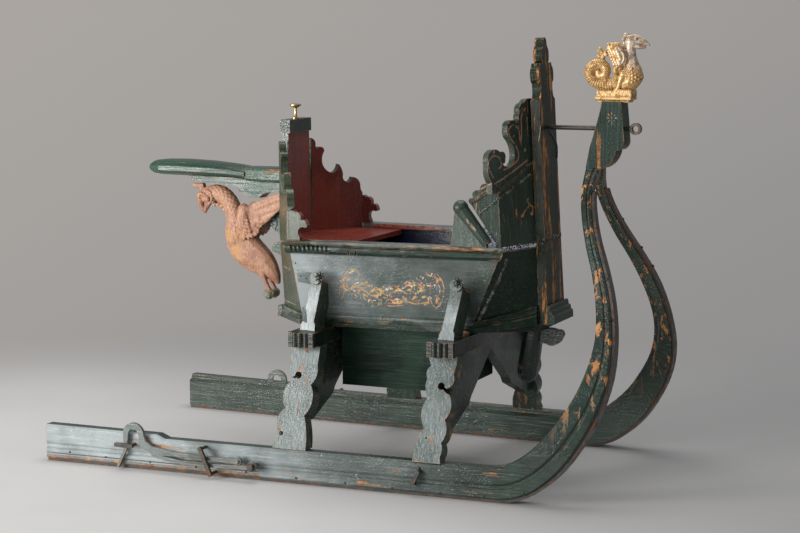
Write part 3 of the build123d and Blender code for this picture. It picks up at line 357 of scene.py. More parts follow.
# Directions into the tub from its side panels and rear side panels
tubIn = {"right": (0, 1, 0), "left": (0, -1, 0), "rearRight": (0.82, 0.57, 0), "rearLeft": (0.82, -0.57, 0)}
finishes = {
    "green": oldPaint("greenPaint", "green", 0, 0.5),
    "greenUp": oldPaint("greenPaintUpright", "green", 2, 0.45),
    "stem": oldPaint("stemPaint", "umber", 2, 0.45, 1.12, shine=0.14),
    "head": oldPaint("headPaint", "green", 2, 0.55, rise=(1.02, 0.86), shine=0.10),
    "wings": oldPaint("wingPaint", "pine", 2, 0.50, 0.25, shine=0.40),
    "beams": oldPaint("beamPaint", "deep", 0, 0.60),
    # Rail and skirt turn to the pale grey paint above a height: paler upper faces, partly painted sheen
    "rail": oldPaint("railPaint", "green", 0, 0.85, 0.70, fade=(2, 0.646, 0.651, "greyPaintAndSheen")),
    "skirt": oldPaint("skirtPaint", "green", 0, 0.45, 0.2, fade=(2, 0.428, 0.440, "greyPaintAndSheen")),
    "prow": oldPaint("prowPaint", "green", 0, 0.40, shine=0.18),
    "well": oldPaint("wellPaint", "green", 0, 0.20, shine=0.05),
    "seat": oldPaint("seatPaint", "red", 1, 0.25, shine=0.08),
    "backRed": oldPaint("backPaint", "green", 2, 0.25, inside=("red", (1, 0, 0), 0.10)),
    "iron": ironFinish("forgedIron"),
    "ironDark": ironFinish("blackIron", 0.45, 0.45),
    # grey paint like the runners', partly painted sheen
    "claw": oldPaint("clawPaint", "greyPaintAndSheen", 0, 0.80, 0.2),
    "saddle": oldPaint("saddlePaint", "bottle", 0, 0.78, 0.3, 0.5),
    "brass": brassFinish("agedBrass"),
    "gilding": gildingFinish("wornGilding"),
    "carved": carvedWoodFinish("bareCarvedWood"),
}
# Painted sheen on the side panels: bright and pale at the rear, fading to sage towards the front
panelSheenFade = (0, -0.16, 0.26, "sage")
for side, inward in (("Right", 1), ("Left", -1)):
    # Runners: pale at the rear, fading to green towards the front, a painted sheen gradient; their inner faces stay
    # darker pine without it
    finishes["runner" + side] = oldPaint("runnerPaint" + side, "palePaintAndSheen", 0, 0.42, 0.25, fade=(0, -0.55, 0.60, "green"),
                                         inside=("pine", (0, inward, 0), -0.45), foot=(0.022, -0.149),
                                         rise=(0.14, 0.34))
    # Legs and struts: pale paint on their outer faces, partly painted sheen, with darker pine on their inner faces; the
    # struts are brightest low down
    innerFace = ("pine", (0, inward, 0), -0.6)
    finishes["legs" + side] = oldPaint("legPaint" + side, "greyPaintAndSheen", 2, 0.55, 0.50, inside=innerFace, shine=0.35)
    finishes["struts" + side] = oldPaint("strutPaint" + side, "palePaintAndSheen", 2, 0.55, fade=(2, 0.47, 0.53, "greyPaintAndSheen"),
                                         inside=innerFace)
    # side panels: painted sheen fading along them, navy inside
    finishes["panel" + side] = oldPaint("panelPaint" + side, "palePaintAndSheen", 0, 0.30, fade=panelSheenFade,
                                        inside=("navy", tubIn[side.lower()], 0.78))
    finishes["rear" + side] = oldPaint("rearPaint" + side, "olive", 2, 0.40, inside=("red", tubIn["rear" + side], 0.35))
# the garland's ground carries the same painted sheen as the side panels
for label, color, cover in (("Ochre", (0.52, 0.33, 0.10), 0.86), ("Orange", (0.58, 0.27, 0.14), 0.80),
                            ("Plum", (0.20, 0.15, 0.19), 0.80), ("Cream", (0.60, 0.50, 0.36), 0.80)):
    finishes["decor" + label] = oldPaint("ornament" + label, "palePaintAndSheen", 0, 0.10, fade=panelSheenFade, decor=(color, cover))
finishes["lining"] = oldPaint("wornLining", "pine", 2, 0.10, decor=((0.34, 0.17, 0.12), 0.92))
finishes["sprig"] = oldPaint("sprigPaint", "pine", 2, 0.10, decor=((0.50, 0.20, 0.07), 0.95))
finishes["putty"] = oldPaint("jointPutty", "green", 2, 0.20, decor=((0.20, 0.20, 0.17), 0.62))
finishes["rimRed"] = oldPaint("rimRed", "red", 0, 0.20, decor=((0.46, 0.15, 0.11), 0.9))
# pale grey paint, partly painted sheen
finishes["palePlate"] = oldPaint("palePlate", "greyPaintAndSheen", 0, 0.20)
print("sled: finishes made")


# Which finish each carried-over node gets, by the start of its name. Some finishes have a Right and a Left
nodeFinishes = {
    "brake_claw": "claw", "shoe": "iron", "stay_rod": "iron", "claw_": "iron", "runner_staple": "iron",
    "rein_pin": "brass", "dragon": "gilding", "griffin": "carved", "seat_board": "seat", "back_board": "backRed",
    "floor": "well", "foot_well": "well", "stem": "stem", "runner_head": "head", "runner_": "runner",
    "wing": "wings", "baluster": "wings", "beam_": "beams", "saddle": "saddle", "rail_": "rail",
    "skirt_prow": "prow", "skirt_cheek": "prow", "cheek": "prow", "skirt_": "skirt", "side_panel": "panel",
    "rear_side": "rear", "brace_": "greenUp", "leg_": "legs", "strut_": "struts", "": "green",
}


def finishOf(node):
    label = next(finish for start, finish in nodeFinishes.items() if node.startswith(start))
    return finishes.get(label + ("Left" if node.endswith("left") else "Right")) or finishes[label]


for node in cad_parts:
    mesh = bpy.data.objects[node].data
    mesh.materials.clear()
    mesh.materials.append(finishOf(node))
print("sled: nodes dressed")


# Small helpers for closed shapes in one bmesh
def turnTo(direction):
    return Vector(direction).to_track_quat("Z", "Y").to_matrix().to_4x4()


def inMetres(values):
    return tuple(value / 1000 for value in values)


def vertsOf(items):
    return [item for item in items if isinstance(item, bmesh.types.BMVert)]


def join(shape, mesh):
    shape.from_mesh(mesh)
    bpy.data.meshes.remove(mesh)


def toMesh(shape, name):
    mesh = bpy.data.meshes.new(name)
    shape.to_mesh(mesh)
    shape.free()
    return mesh


def ballTemplate(rings):
    label = f"roundLump{rings}"
    if label not in bpy.data.meshes:
        shape = bmesh.new()
        bmesh.ops.create_uvsphere(shape, u_segments=2 * rings, v_segments=rings, radius=1)
        toMesh(shape, label)
    return bpy.data.meshes[label]


def ball(shape, place, size, turn=None, rings=6):
    size = (size, size, size) if isinstance(size, (int, float)) else size
    mesh = ballTemplate(rings).copy()
    mesh.transform(Matrix.Translation(place) @ (turn or Matrix()) @ Matrix.Diagonal((*size, 1)))
    join(shape, mesh)


def roundOff(shape, edges, width):
    bmesh.ops.bevel(shape, geom=edges, offset=width, offset_type="OFFSET", segments=2, profile=0.5,
                    affect="EDGES", material=-1, clamp_overlap=True)


def block(shape, place, size, turn=None, bevel=0.001):
    matrix = Matrix.Translation(place) @ (turn or Matrix()) @ Matrix.Diagonal((*size, 1))
    verts = bmesh.ops.create_cube(shape, size=1, matrix=matrix)["verts"]
    roundOff(shape, list({edge for vert in verts for edge in vert.link_edges}), bevel)


def otherSide(shape):    # the same on the left, mirrored across the middle plane
    made = bmesh.ops.duplicate(shape, geom=shape.verts[:] + shape.edges[:] + shape.faces[:])["geom"]
    bmesh.ops.scale(shape, vec=(1, -1, 1), verts=vertsOf(made))
    bmesh.ops.reverse_faces(shape, faces=[item for item in made if isinstance(item, bmesh.types.BMFace)])


def curved(rows, steps=6):    # a smooth run through the rows, each a tuple of numbers
    run = []
    for k in range(len(rows) - 1):
        before, here = rows[max(k - 1, 0)], rows[k]
        after, later = rows[k + 1], rows[min(k + 2, len(rows) - 1)]
        for step in range(steps):
            t = step / steps
            run.append(tuple(0.5 * (2 * b + (c - a) * t + (2 * a - 5 * b + 4 * c - d) * t * t
                                    + (3 * b - a - 3 * c + d) * t ** 3)
                             for a, b, c, d in zip(before, here, after, later)))
    run.append(tuple(rows[-1]))
    return run


def addPiece(mesh, finish):
    mesh.polygons.foreach_set("use_smooth", [True] * len(mesh.polygons))
    mesh.materials.clear()
    mesh.materials.append(finishes[finish])
    piece = bpy.data.objects.new(mesh.name, mesh)
    bpy.context.scene.collection.objects.link(piece)
    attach(piece, "sled")
    return piece


def addTrimPiece(shape, name, finish, mirrored=True):
    if mirrored:
        otherSide(shape)
    mesh = addPiece(toMesh(shape, name), finish).data
    mesh.set_sharp_from_angle(angle=math.radians(35))


# Overlapping lumps become one carved skin: a fine remesh, then a little smoothing
def sculpt(shape, name, finish, grain):
    lumps = toMesh(shape, name + "Lumps")
    clay = bpy.data.objects.new(name + "Clay", lumps)
    bpy.context.scene.collection.objects.link(clay)
    skin = clay.modifiers.new("skin", "REMESH")
    skin.mode = "VOXEL"
    skin.voxel_size = grain
    soften = clay.modifiers.new("soften", "SMOOTH")
    soften.factor = 0.5
    soften.iterations = 2
    mesh = bpy.data.meshes.new_from_object(clay.evaluated_get(bpy.context.evaluated_depsgraph_get()))
    bpy.data.objects.remove(clay)
    bpy.data.meshes.remove(lumps)
    mesh.name = name
    return addPiece(mesh, finish)


def limb(shape, rows, steps=6, side=1):    # rows of x, y, z, radius in the middle plane, radius across it
    for x, y, z, deep, wide in curved([(x, side * y, *rest) for x, y, *rest in rows], steps):
        ball(shape, inMetres((x, y, z)), inMetres((deep, wide, deep)))


def lump(shape, row, side=1, tilt=0.0, rings=6):    # x, y, z and the three radii
    turn = Matrix.Rotation(math.radians(tilt), 4, "Y") if tilt else None
    ball(shape, inMetres((row[0], side * row[1], row[2])), inMetres(row[3:]), turn, rings)


def feather(shape, start, end, y, halfWidth, halfThick):
    start, end = Vector((start[0], 0, start[1])) / 1000, Vector((end[0], 0, end[1])) / 1000
    along, middle = end - start, (start + end) / 2
    turn = Matrix.Rotation(-math.atan2(along.z, along.x), 4, "Y")
    ball(shape, (middle.x, y / 1000, middle.z), (along.length / 2, halfThick / 1000, halfWidth / 1000), turn)


# Griffin that props the saddle. Places in millimetres, pairs of parts given for the left
griffin = {
    "body": [(-436, 0, 668, 30, 24), (-432, 0, 640, 42, 30), (-418, 0, 610, 51, 34), (-394, 0, 583, 52, 35),
             (-362, 0, 561, 45, 31), (-336, 0, 541, 34, 25), (-315, 0, 520, 21, 18), (-301, 0, 498, 8, 8)],
    "neck": [(-540, 0, 750, 22, 18), (-514, 0, 757, 22, 18), (-484, 0, 751, 24, 19), (-461, 0, 732, 24, 20),
             (-448, 0, 706, 25, 21), (-441, 0, 680, 29, 23), (-434, 0, 655, 37, 27)],
    "beakTop": [(-550, 0, 748, 17, 15), (-559, 0, 735, 13, 12), (-559, 0, 720, 10, 10), (-552, 0, 706, 7.5, 8),
                (-544, 0, 697, 4.5, 5)],
    "beakLow": [(-533, 0, 742, 15, 13), (-533, 0, 727, 11, 11), (-538, 0, 715, 8.5, 9), (-542, 0, 705, 6, 7)],
    "brow": [(-566, 10, 744, 3.5, 3.5), (-557, 15, 752, 4.2, 4), (-544, 18, 753, 4, 4), (-534, 19, 749, 3, 3)],
    "eye": (-556.5, 14, 742.5, 5.2, 5.2, 5.2),
    "ear": [(-530, 17, 764, 3.5, 3.5), (-517, 19, 757, 4.2, 4), (-511, 20, 744, 4.5, 4), (-514, 19, 731, 4, 4),
            (-524, 17, 724, 3, 3)],
    "cheek": [(-541, 15, 735, 7, 5), (-529, 17, 738, 9, 6)],
    "shoulder": [(-395, 33, 706, 22, 11, 26), (-399, 32, 672, 20, 11, 30), (-372, 31, 700, 36, 7, 26),
                 (-375, 30, 660, 34, 7, 30)],
    "wingBow": (-399, 38, 690, 18, 10, 40),
    "wattles": [(-508, 722, 7), (-497, 721, 6), (-486, 717, 6), (-476, 707, 6.5)],
    "plumes": [(-256, 768), (-254, 757), (-255, 745), (-259, 733), (-270, 721), (-284, 710), (-300, 699)],
    "coverts": [(-310, 690), (-325, 678), (-334, 664), (-342, 649), (-352, 636), (-366, 627), (-380, 621),
                (-395, 619), (-409, 621), (-420, 628)],
    "leg": [(-352, 15, 540, 16, 11), (-341, 16, 512, 9, 8), (-331, 17, 492, 7, 6.5), (-322, 17, 476, 6.5, 6)],
    "foot": (-324, 17, 460, 15, 15, 15),
    "talons": (-70, -20, 30, 80),    # degrees round the foot
    "crest": [((-0.5645, 0, 0.777), (0.036, 0.018, 0.013)), ((-0.551, 0, 0.768), (0.013, 0.017, 0.022))],
    "grain": 0.0019,
}


def buildGriffin(spec):
    shape = bmesh.new()
    for part in ("body", "neck", "beakTop", "beakLow"):
        limb(shape, spec[part])
    for side in (-1, 1):
        for part, steps in (("brow", 6), ("ear", 6), ("cheek", 3), ("leg", 6)):
            limb(shape, spec[part], steps, side)
        for row in (spec["eye"], spec["foot"], *spec["shoulder"]):
            lump(shape, row, side)
        lump(shape, spec["wingBow"], side, 8)
        for k, tip in enumerate(spec["plumes"]):
            feather(shape, (-388 + 5 * k, 716 - 9 * k), tip, side * (31 + 1.6 * (k % 2)), 8.5, 3.6)
        for k, tip in enumerate(spec["coverts"]):
            root = (-384 - 1.5 * k, 682 - 1.2 * k)
            feather(shape, root, tip, side * (32 + 1.8 * (k % 2)), 8.0, 4.6)
            lump(shape, ((root[0] + tip[0]) / 2, 35.5, (root[1] + tip[1]) / 2, 8.5, 3.5, 8.5), side)
        for k in range(6):    # small feathers on the wing's bow
            rows = [(-404 + 3 * k, 40, 712 - 12 * k, 4.5, 4), (-386 + 3 * k, 40, 704 - 11 * k, 4.5, 4)]
            limb(shape, rows, 3, side)
        for turn in spec["talons"]:
            back, out = math.sin(math.radians(turn)), math.cos(math.radians(turn))
            rows = [(-322, 17, 476, 4, 4), (-324 + 15 * back, 17 + 6 * out, 468, 4, 4),
                    (-324 + 14 * back, 17 + 13 * out, 455, 3, 3)]
            limb(shape, rows, 4, side)
        for x, z, radius in spec["wattles"]:
            lump(shape, (x, 6, z, radius, radius, radius), side)
    spine = curved(spec["neck"] + spec["body"][1:3], 4)
    for k in range(5, len(spine) - 1):    # scales round the neck
        (x, y, z, deep, wide), ahead = spine[k], spine[k + 1]
        tangent = Vector((ahead[0] - x, 0, ahead[2] - z)).normalized()
        normal = Vector((tangent.z, 0, -tangent.x))
        for j in range(11):
            around = math.radians(33 * j + (16 if k % 2 else 0))
            outward = normal * math.cos(around) + Vector((0, 1, 0)) * math.sin(around)
            place = Vector((x, 0, z)) + normal * deep * math.cos(around) + Vector((0, wide * math.sin(around), 0))
            turn = Matrix((outward.cross(tangent), tangent, outward)).transposed().to_4x4()
            ball(shape, place * 0.99 / 1000 + Vector((x, 0, z)) * 0.01 / 1000, (0.0052, 0.0085, 0.0026), turn, 5)
    for place, size in spec["crest"]:
        block(shape, place, size)
    piece = sculpt(shape, "griffinCarving", "carved", spec["grain"])
    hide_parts("griffin")


buildGriffin(griffin)
print("sled: griffin carved")


# Dragon on its stepped base. Places in millimetres, pairs of parts given for the left
dragon = {
    "neck": [(784, 0, 1208.5, 20, 15), (782, 0, 1190, 15, 13), (785, 0, 1166, 15, 14), (788, 0, 1144, 20, 18),
             (790, 0, 1120, 28, 23), (780, 0, 1101, 26, 22), (757, 0, 1096, 22, 20)],
    "tail": [(757, 0, 1096, 22, 20), (733, 0, 1094, 19, 18), (704, 0, 1094, 17, 16), (679, 0, 1103, 16, 15),
             (667, 0, 1121, 15, 15), (671, 0, 1138, 15, 15), (685, 0, 1148, 15, 14), (701, 0, 1149, 14, 13),
             (713, 0, 1139, 12, 12), (714, 0, 1123, 11, 11), (703, 0, 1115, 9, 10), (692, 0, 1120, 7, 9),
             (692, 0, 1129, 5, 7)],
    "beak": [(796, 0, 1215, 13, 12), (812, 0, 1211, 10, 10), (824, 0, 1206, 7, 7), (833, 0, 1202, 4, 5)],
    "jaw": [(792, 0, 1200, 9, 10), (808, 0, 1195, 6, 8), (822, 0, 1194, 3.5, 5)],
    "breast": (789, 0, 1144, 24, 21, 3.0),
    "brow": [(776, 9, 1224, 3, 3), (790, 12, 1225.5, 3.2, 3), (803, 11, 1223, 3, 3), (812, 8, 1219, 2.2, 2.2)],
    "eye": (800, 11.8, 1216.5, 4.2, 4.2, 4.2),
    "mane": [(770, 1226, 7.5), (765, 1217, 7.5), (767, 1205, 6.5), (764, 1195, 6.5), (768, 1184, 6), (770, 1174, 5)],
    "wing": [((749, 23, 1170, 19, 5.5, 34), -22), ((738, 23, 1187, 14, 5.0, 20), -34)],
    "wingEdge": [(724, 24, 1203, 3.2, 4.5), (738, 24, 1204, 3.2, 4.5), (754, 24, 1195, 3.2, 4.5),
                 (768, 24, 1179, 3.2, 4.5), (772, 24, 1163, 3.2, 4.5), (764, 24, 1150, 3.2, 4.5),
                 (752, 24, 1140, 3.2, 4.5)],
    "haunch": [(748, 22, 1145, 9, 6), (747, 19, 1128, 8, 7), (748, 14, 1112, 9, 8)],
    "leg": [(768, 15, 1122, 12, 8), (760, 18, 1104, 7.5, 6), (755, 19, 1088, 6, 5.5), (750, 19, 1079, 6, 6)],
    "foot": [(748, 19, 1078, 7, 6), (770, 20, 1076, 5.5, 5), (789, 19, 1076, 6, 6)],
    "leaf": [((700, 1152), (709, 1176), 5.5), ((706, 1170), (693, 1196), 5.5), ((705, 1168), (684, 1172), 4.5),
             ((708, 1172), (717, 1190), 4.5), ((700, 1180), (686, 1186), 4), ((709, 1170), (720, 1176), 4)],
    "tiers": [((741.5, 0, 1048.8), (88, 44, 7)), ((741.5, 0, 1056.5), (104, 54, 9)), ((744, 0, 1069), (100, 48, 18))],
    "grain": 0.0014,
}


def buildDragon(spec):
    shape = bmesh.new()
    for part, steps in (("neck", 6), ("tail", 8), ("beak", 6), ("jaw", 6)):
        limb(shape, spec[part], steps)
    coil = curved(spec["tail"], 4)
    for index in range(4, len(coil)):    # rope ridges round the coil
        x, y, z, deep, wide = coil[index]
        behind, ahead = coil[index - 1], coil[min(index + 1, len(coil) - 1)]
        along = Vector((ahead[0] - behind[0], 0, ahead[2] - behind[2]))
        ball(shape, inMetres((x, 0, z)), inMetres((deep + 2.4, wide + 2.4, 1.9)), turnTo(along))
    lump(shape, spec["breast"], 1, 12)
    for k in range(9):    # breast feathers
        for j in range(-3, 4):
            away = math.radians(38 * j + (19 if k % 2 else 0))
            place = (789 + (12 + 15 * math.sin(k / 3)) * math.cos(away), 21 * math.sin(away), 1137 - 4.6 * k)
            lump(shape, (*place, 4, 4, 4.2), rings=5)
    for side in (-1, 1):
        for part, steps in (("brow", 6), ("wingEdge", 4), ("haunch", 6), ("leg", 6), ("foot", 4)):
            limb(shape, spec[part], steps, side)
        lump(shape, spec["eye"], side)
        for x, z, radius in spec["mane"]:
            lump(shape, (x, 6.5, z, radius, radius, radius), side)
        for row, tilt in spec["wing"]:
            lump(shape, row, side, tilt)
        for k in range(8):    # small feathers within the oval of the wing
            for j in range(5):
                x, z = 731 + 8.0 * j + (4 if k % 2 else 0) - 0.9 * k, 1198 - 7.2 * k
                across, along = 0.93 * (x - 748) + 0.37 * (z - 1171), 0.93 * (z - 1171) - 0.37 * (x - 748)
                if (across / 17) ** 2 + (along / 31) ** 2 < 1:
                    lump(shape, (x, 27.5, z, 4.6, 2.2, 5.2), side, rings=5)
    for start, end, half in spec["leaf"]:
        feather(shape, start, end, 0, half, 4.5)
    for place, size in spec["tiers"]:
        block(shape, inMetres(place), inMetres(size), bevel=0.002)
    piece = sculpt(shape, "dragonCarving", "gilding", spec["grain"])
    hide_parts("dragon")


buildDragon(dragon)
print("sled: dragon carved")


# Details are placed where the camera of the photograph sees them, on the surface that carries them
surfaces = {}
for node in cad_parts:
    mesh = bpy.data.objects[node].data
    surfaces[node] = BVHTree.FromPolygons([v.co for v in mesh.vertices], [p.vertices for p in mesh.polygons])


def seenAt(u, v, node=None):    # place and outward normal under a pixel of the view
    width, height = view["imageSize"]
    lens, camera = view["focalPixels"], bpy.context.scene.camera.matrix_world
    ray = (camera.to_3x3() @ Vector(((u - width / 2) / lens, (height / 2 - v) / lens, -1))).normalized()
    best = None
    for label in (node,) if node else surfaces:
        hit = surfaces[label].ray_cast(Vector(view["place"]), ray)
        if hit[0] is not None and (best is None or hit[3] < best[3]):
            best = hit
    if best is None:
        return None
    return best[0], best[1] if best[1].dot(ray) < 0 else -best[1]


def onSurface(normal, tilt=0.0):    # a frame with Z along the normal and X level, turned by tilt
    level = Vector((0, 0, 1)).cross(normal)
    level = level.normalized() if level.length > 0.1 else Vector((1, 0, 0))
    turn = Matrix((level, normal.cross(level), normal)).transposed().to_4x4()
    return turn @ Matrix.Rotation(math.radians(tilt), 4, "Z")


def dab(shape, u, v, length, width, tilt, height, node=None, rings=4):
    spot = seenAt(u, v, node)
    if spot:
        ball(shape, spot[0], (length / 2, width / 2, height), onSurface(spot[1], tilt), rings)


def stroke(shape, pixels, width, height, node=None, steps=4, taper=True, jump=0.04):
    run = []
    for u, v in curved(pixels, steps):
        spot = seenAt(u, v, node)
        if spot and (not run or (spot[0] - run[-1][0]).length < jump):    # a jump means another surface behind
            run.append(spot)
    if len(run) < 2:
        print("sled: a stroke missed its surface at", pixels[0])
        return
    line = bmesh.new()
    loops = []
    last = len(run) - 1
    for k, (place, normal) in enumerate(run):
        along = (run[min(k + 1, last)][0] - run[max(k - 1, 0)][0]).normalized()
        across = normal.cross(along).normalized()
        turn = Matrix((across, normal, across.cross(normal))).transposed().to_4x4()
        share = math.sin(math.pi * k / last) ** 0.5 if taper else 1.0
        size = Matrix.Diagonal((width / 2 * (0.3 + 0.7 * share), height, 1, 1))
        verts = bmesh.ops.create_circle(line, segments=6, radius=1, cap_ends=k in (0, last),
                                        matrix=Matrix.Translation(place) @ turn @ size)["verts"]
        loops.append([edge for edge in line.edges if edge.verts[0] in verts and edge.verts[1] in verts])
    for near, far in zip(loops, loops[1:]):
        bmesh.ops.bridge_loops(line, edges=near + far)
    bmesh.ops.recalc_face_normals(line, faces=line.faces[:])
    join(shape, toMesh(line, "stroke"))


def plate(shape, pixels, thick, node=None, bevel=0.0008, sunk=0.001):
    spots = [seenAt(u, v, node) for u, v in pixels]
    if None in spots:
        print("sled: a plate missed its surface at", pixels[0])
        return
    flat = bmesh.new()
    normal = sum((spot[1] for spot in spots), Vector()).normalized()
    face = flat.faces.new([flat.verts.new(spot[0] - normal * sunk) for spot in spots])
    lifted = bmesh.ops.extrude_face_region(flat, geom=[face])["geom"]
    bmesh.ops.translate(flat, vec=normal * (thick + sunk), verts=vertsOf(lifted))
    roundOff(flat, flat.edges[:], bevel)
    bmesh.ops.recalc_face_normals(flat, faces=flat.faces[:])
    join(shape, toMesh(flat, "plate"))


# Faded garland on the side panels: scrolls, leaves and a medallion, in pixels of the view
garland = {
    "panel": "side_panel_right",
    "foliage": 34,         # how many scattered leaves of each colour
    "lift": 0.0004,
    "Ochre": {
        "strokes": [([(341, 300), (345, 290), (344, 280), (347, 272), (354, 269), (359, 274), (356, 281)], 0.0055),
                    ([(345, 292), (353, 287), (361, 288), (369, 294), (378, 298)], 0.0060),
                    ([(362, 291), (369, 285), (377, 288), (384, 294), (393, 297)], 0.0055),
                    ([(378, 299), (390, 303), (404, 301), (416, 304), (427, 302)], 0.0060),
                    ([(384, 291), (392, 286), (400, 289), (407, 294), (416, 293)], 0.0050),
                    ([(404, 287), (412, 283), (420, 285), (426, 291)], 0.0050)],
        "leaves": [(350, 279, 20), (364, 284, -30), (372, 291, 40), (388, 296, -20), (396, 291, 35), (402, 297, -40),
                   (409, 290, 15), (414, 298, 50), (421, 289, -35), (424, 297, 20), (381, 293, 70), (399, 303, 10)],
    },
    "Orange": {
        "strokes": [([(430, 291), (431, 281), (436, 274), (442, 281), (444, 292), (441, 303), (436, 308), (431, 301),
                      (430, 291)], 0.0050),
                    ([(339, 296), (341, 284), (349, 275)], 0.0040),
                    ([(368, 299), (380, 304), (392, 306), (404, 305)], 0.0045)],
        "leaves": [(344, 286, 60), (357, 292, -25), (376, 296, 15), (393, 301, -35), (407, 286, 30), (418, 286, -20),
                   (426, 304, 25), (437, 281, 80), (437, 300, 75)],
    },
    "Plum": {
        "strokes": [([(386, 300), (396, 296), (406, 298), (418, 300)], 0.0060)],
        "leaves": [(391, 293, 10), (400, 294, -20), (411, 294, 25), (417, 302, -10), (422, 293, 60), (384, 288, 30),
                   (437, 290, 85), (405, 302, -30)],
    },
    "Cream": {
        "strokes": [([(434, 288), (437, 284), (440, 288), (439, 295), (435, 296)], 0.0035)],
        "leaves": [(351, 272, 30), (388, 290, 50), (412, 287, -30), (398, 299, 10), (428, 299, 80)],
    },
}


def paintGarland(spec):
    panel = spec["panel"]
    for turn, color in enumerate(("Ochre", "Orange", "Plum", "Cream")):
        shape = bmesh.new()
        for pixels, width in spec[color]["strokes"]:
            stroke(shape, pixels, 0.7 * width, 0.0003, panel)
        for k in range(spec["foliage"]):    # small leaves scattered along the swag
            share = (k + turn / 4) / spec["foliage"]
            drift = 0.6 + 0.4 * math.sin(math.pi * share)
            u = 341 + 97 * share
            v = 281 + 15 * math.sin(math.pi * min(share * 1.15, 1)) + 9 * drift * math.sin(2.4 * k + 1.9 * turn)
            dab(shape, u, v, 0.010 + 0.004 * math.sin(1.7 * k), 0.0042, 57 * k + 31 * turn, spec["lift"], panel)
        for index, (u, v, tilt) in enumerate(spec[color]["leaves"]):
            dab(shape, u, v, 0.016 + 0.004 * (index % 3), 0.0075, tilt, spec["lift"], panel)
            dab(shape, u + 2.5, v - 1.5, 0.010, 0.0055, tilt + 55, spec["lift"], panel)
        addTrimPiece(shape, "garland" + color, "decor" + color)


paintGarland(garland)

# Worn salmon borders along the scrolls of the wings, a sprig between them and the worn ends of the balusters
borders = {
    "panel": "wing_right",
    "width": 0.0052,
    "lift": 0.0004,
    "wing": [
        [(474, 195), (477, 190), (483, 189), (489, 186), (495, 183)],
        [(496, 178), (492, 170), (491, 162), (496, 156), (502, 158), (504, 165), (501, 169)],
        [(506, 170), (514, 166), (521, 158), (519, 147), (513, 138), (511, 130), (516, 125), (521, 129)],
        [(524, 140), (524, 128), (524, 116), (528, 108)],
        [(497, 184), (508, 177), (520, 168), (530, 160)],
    ],
    "spots": [(522, 110, 0.015), (509, 122, 0.013), (525, 150, 0.011), (494, 152, 0.012), (527, 165, 0.008),
              (489, 168, 0.009), (514, 136, 0.008)],
    "handleWear": [(466, 219), (470, 224), (476, 231)],
    "sprig": [[(527, 200), (530, 205), (536, 208), (541, 212)], [(532, 205), (533, 210), (532, 214)],
              [(529, 206), (525, 211), (523, 215)]],
    "berries": [(522.5, 216, 0.012), (532, 213.5, 0.013), (539, 206, 0.008), (541, 222, 0.007), (517, 214, 0.006),
                (528, 199, 0.006), (536, 218, 0.007)],
}


def paintBorders(spec):
    panel, lift = spec["panel"], spec["lift"]
    shape = bmesh.new()
    for pixels in spec["wing"]:
        stroke(shape, [(u - 2.5, v) for u, v in pixels], spec["width"], lift, panel, taper=False)
    for u, v, size in spec["spots"]:
        dab(shape, u, v, size, 0.7 * size, 60, lift, panel)
    stroke(shape, spec["handleWear"], 0.008, lift)
    addTrimPiece(shape, "wingBorders", "lining")
    shape = bmesh.new()
    for pixels in spec["sprig"]:
        stroke(shape, pixels, 0.0042, lift, panel)
    for u, v, size in spec["berries"]:
        dab(shape, u, v, size, 0.85 * size, 20, lift, panel)
    addTrimPiece(shape, "wingSprig", "sprig")


paintBorders(borders)
print("sled: ornament painted")

# Iron nails, bolts, nuts and straps, in pixels of the view, with radii or widths and heights in metres
ironwork = {
    "studs": [(281, 433, 0.0065), (426, 438, 0.0030), (419, 469, 0.0060), (301, 276, 0.0042), (306.5, 278, 0.0042),
              (295.5, 263, 0.0026), (345, 322, 0.0022), (400, 325, 0.0022), (428, 326, 0.0022), (487, 318, 0.0024),
              (600, 198, 0.0045), (604, 262, 0.0045), (607, 279, 0.0045), (596, 228, 0.0040), (610, 320, 0.0045)],
    "farStuds": [(617, 183), (623, 207), (638, 238), (653, 266), (663, 300), (668, 335), (664, 368)],
    "farRadius": 0.0050,
    "shoeNail": (0.0065, 0.0022),    # width, height
    "shoeNails": [(70, 452), (106, 457), (150, 462), (196, 467), (246, 472), (296, 478), (345, 483), (392, 488),
                  (440, 493), (484, 496), (524, 493)],
    "rosettes": [("strut_rear_right", 319.5, 277), ("strut_front_right", 457.7, 283)],
    "petals": 8,
    "strap": [(297, 270), (298, 281.5), (313, 284.5), (312.5, 273)],
    "tab": [(302, 307), (303, 321), (306.5, 323), (306, 309)],
    "stemStrap": [(549, 131), (554, 138), (557, 147), (557, 158)],
    "stemClip": [(541, 245), (548, 241), (556, 238), (561, 236)],
}


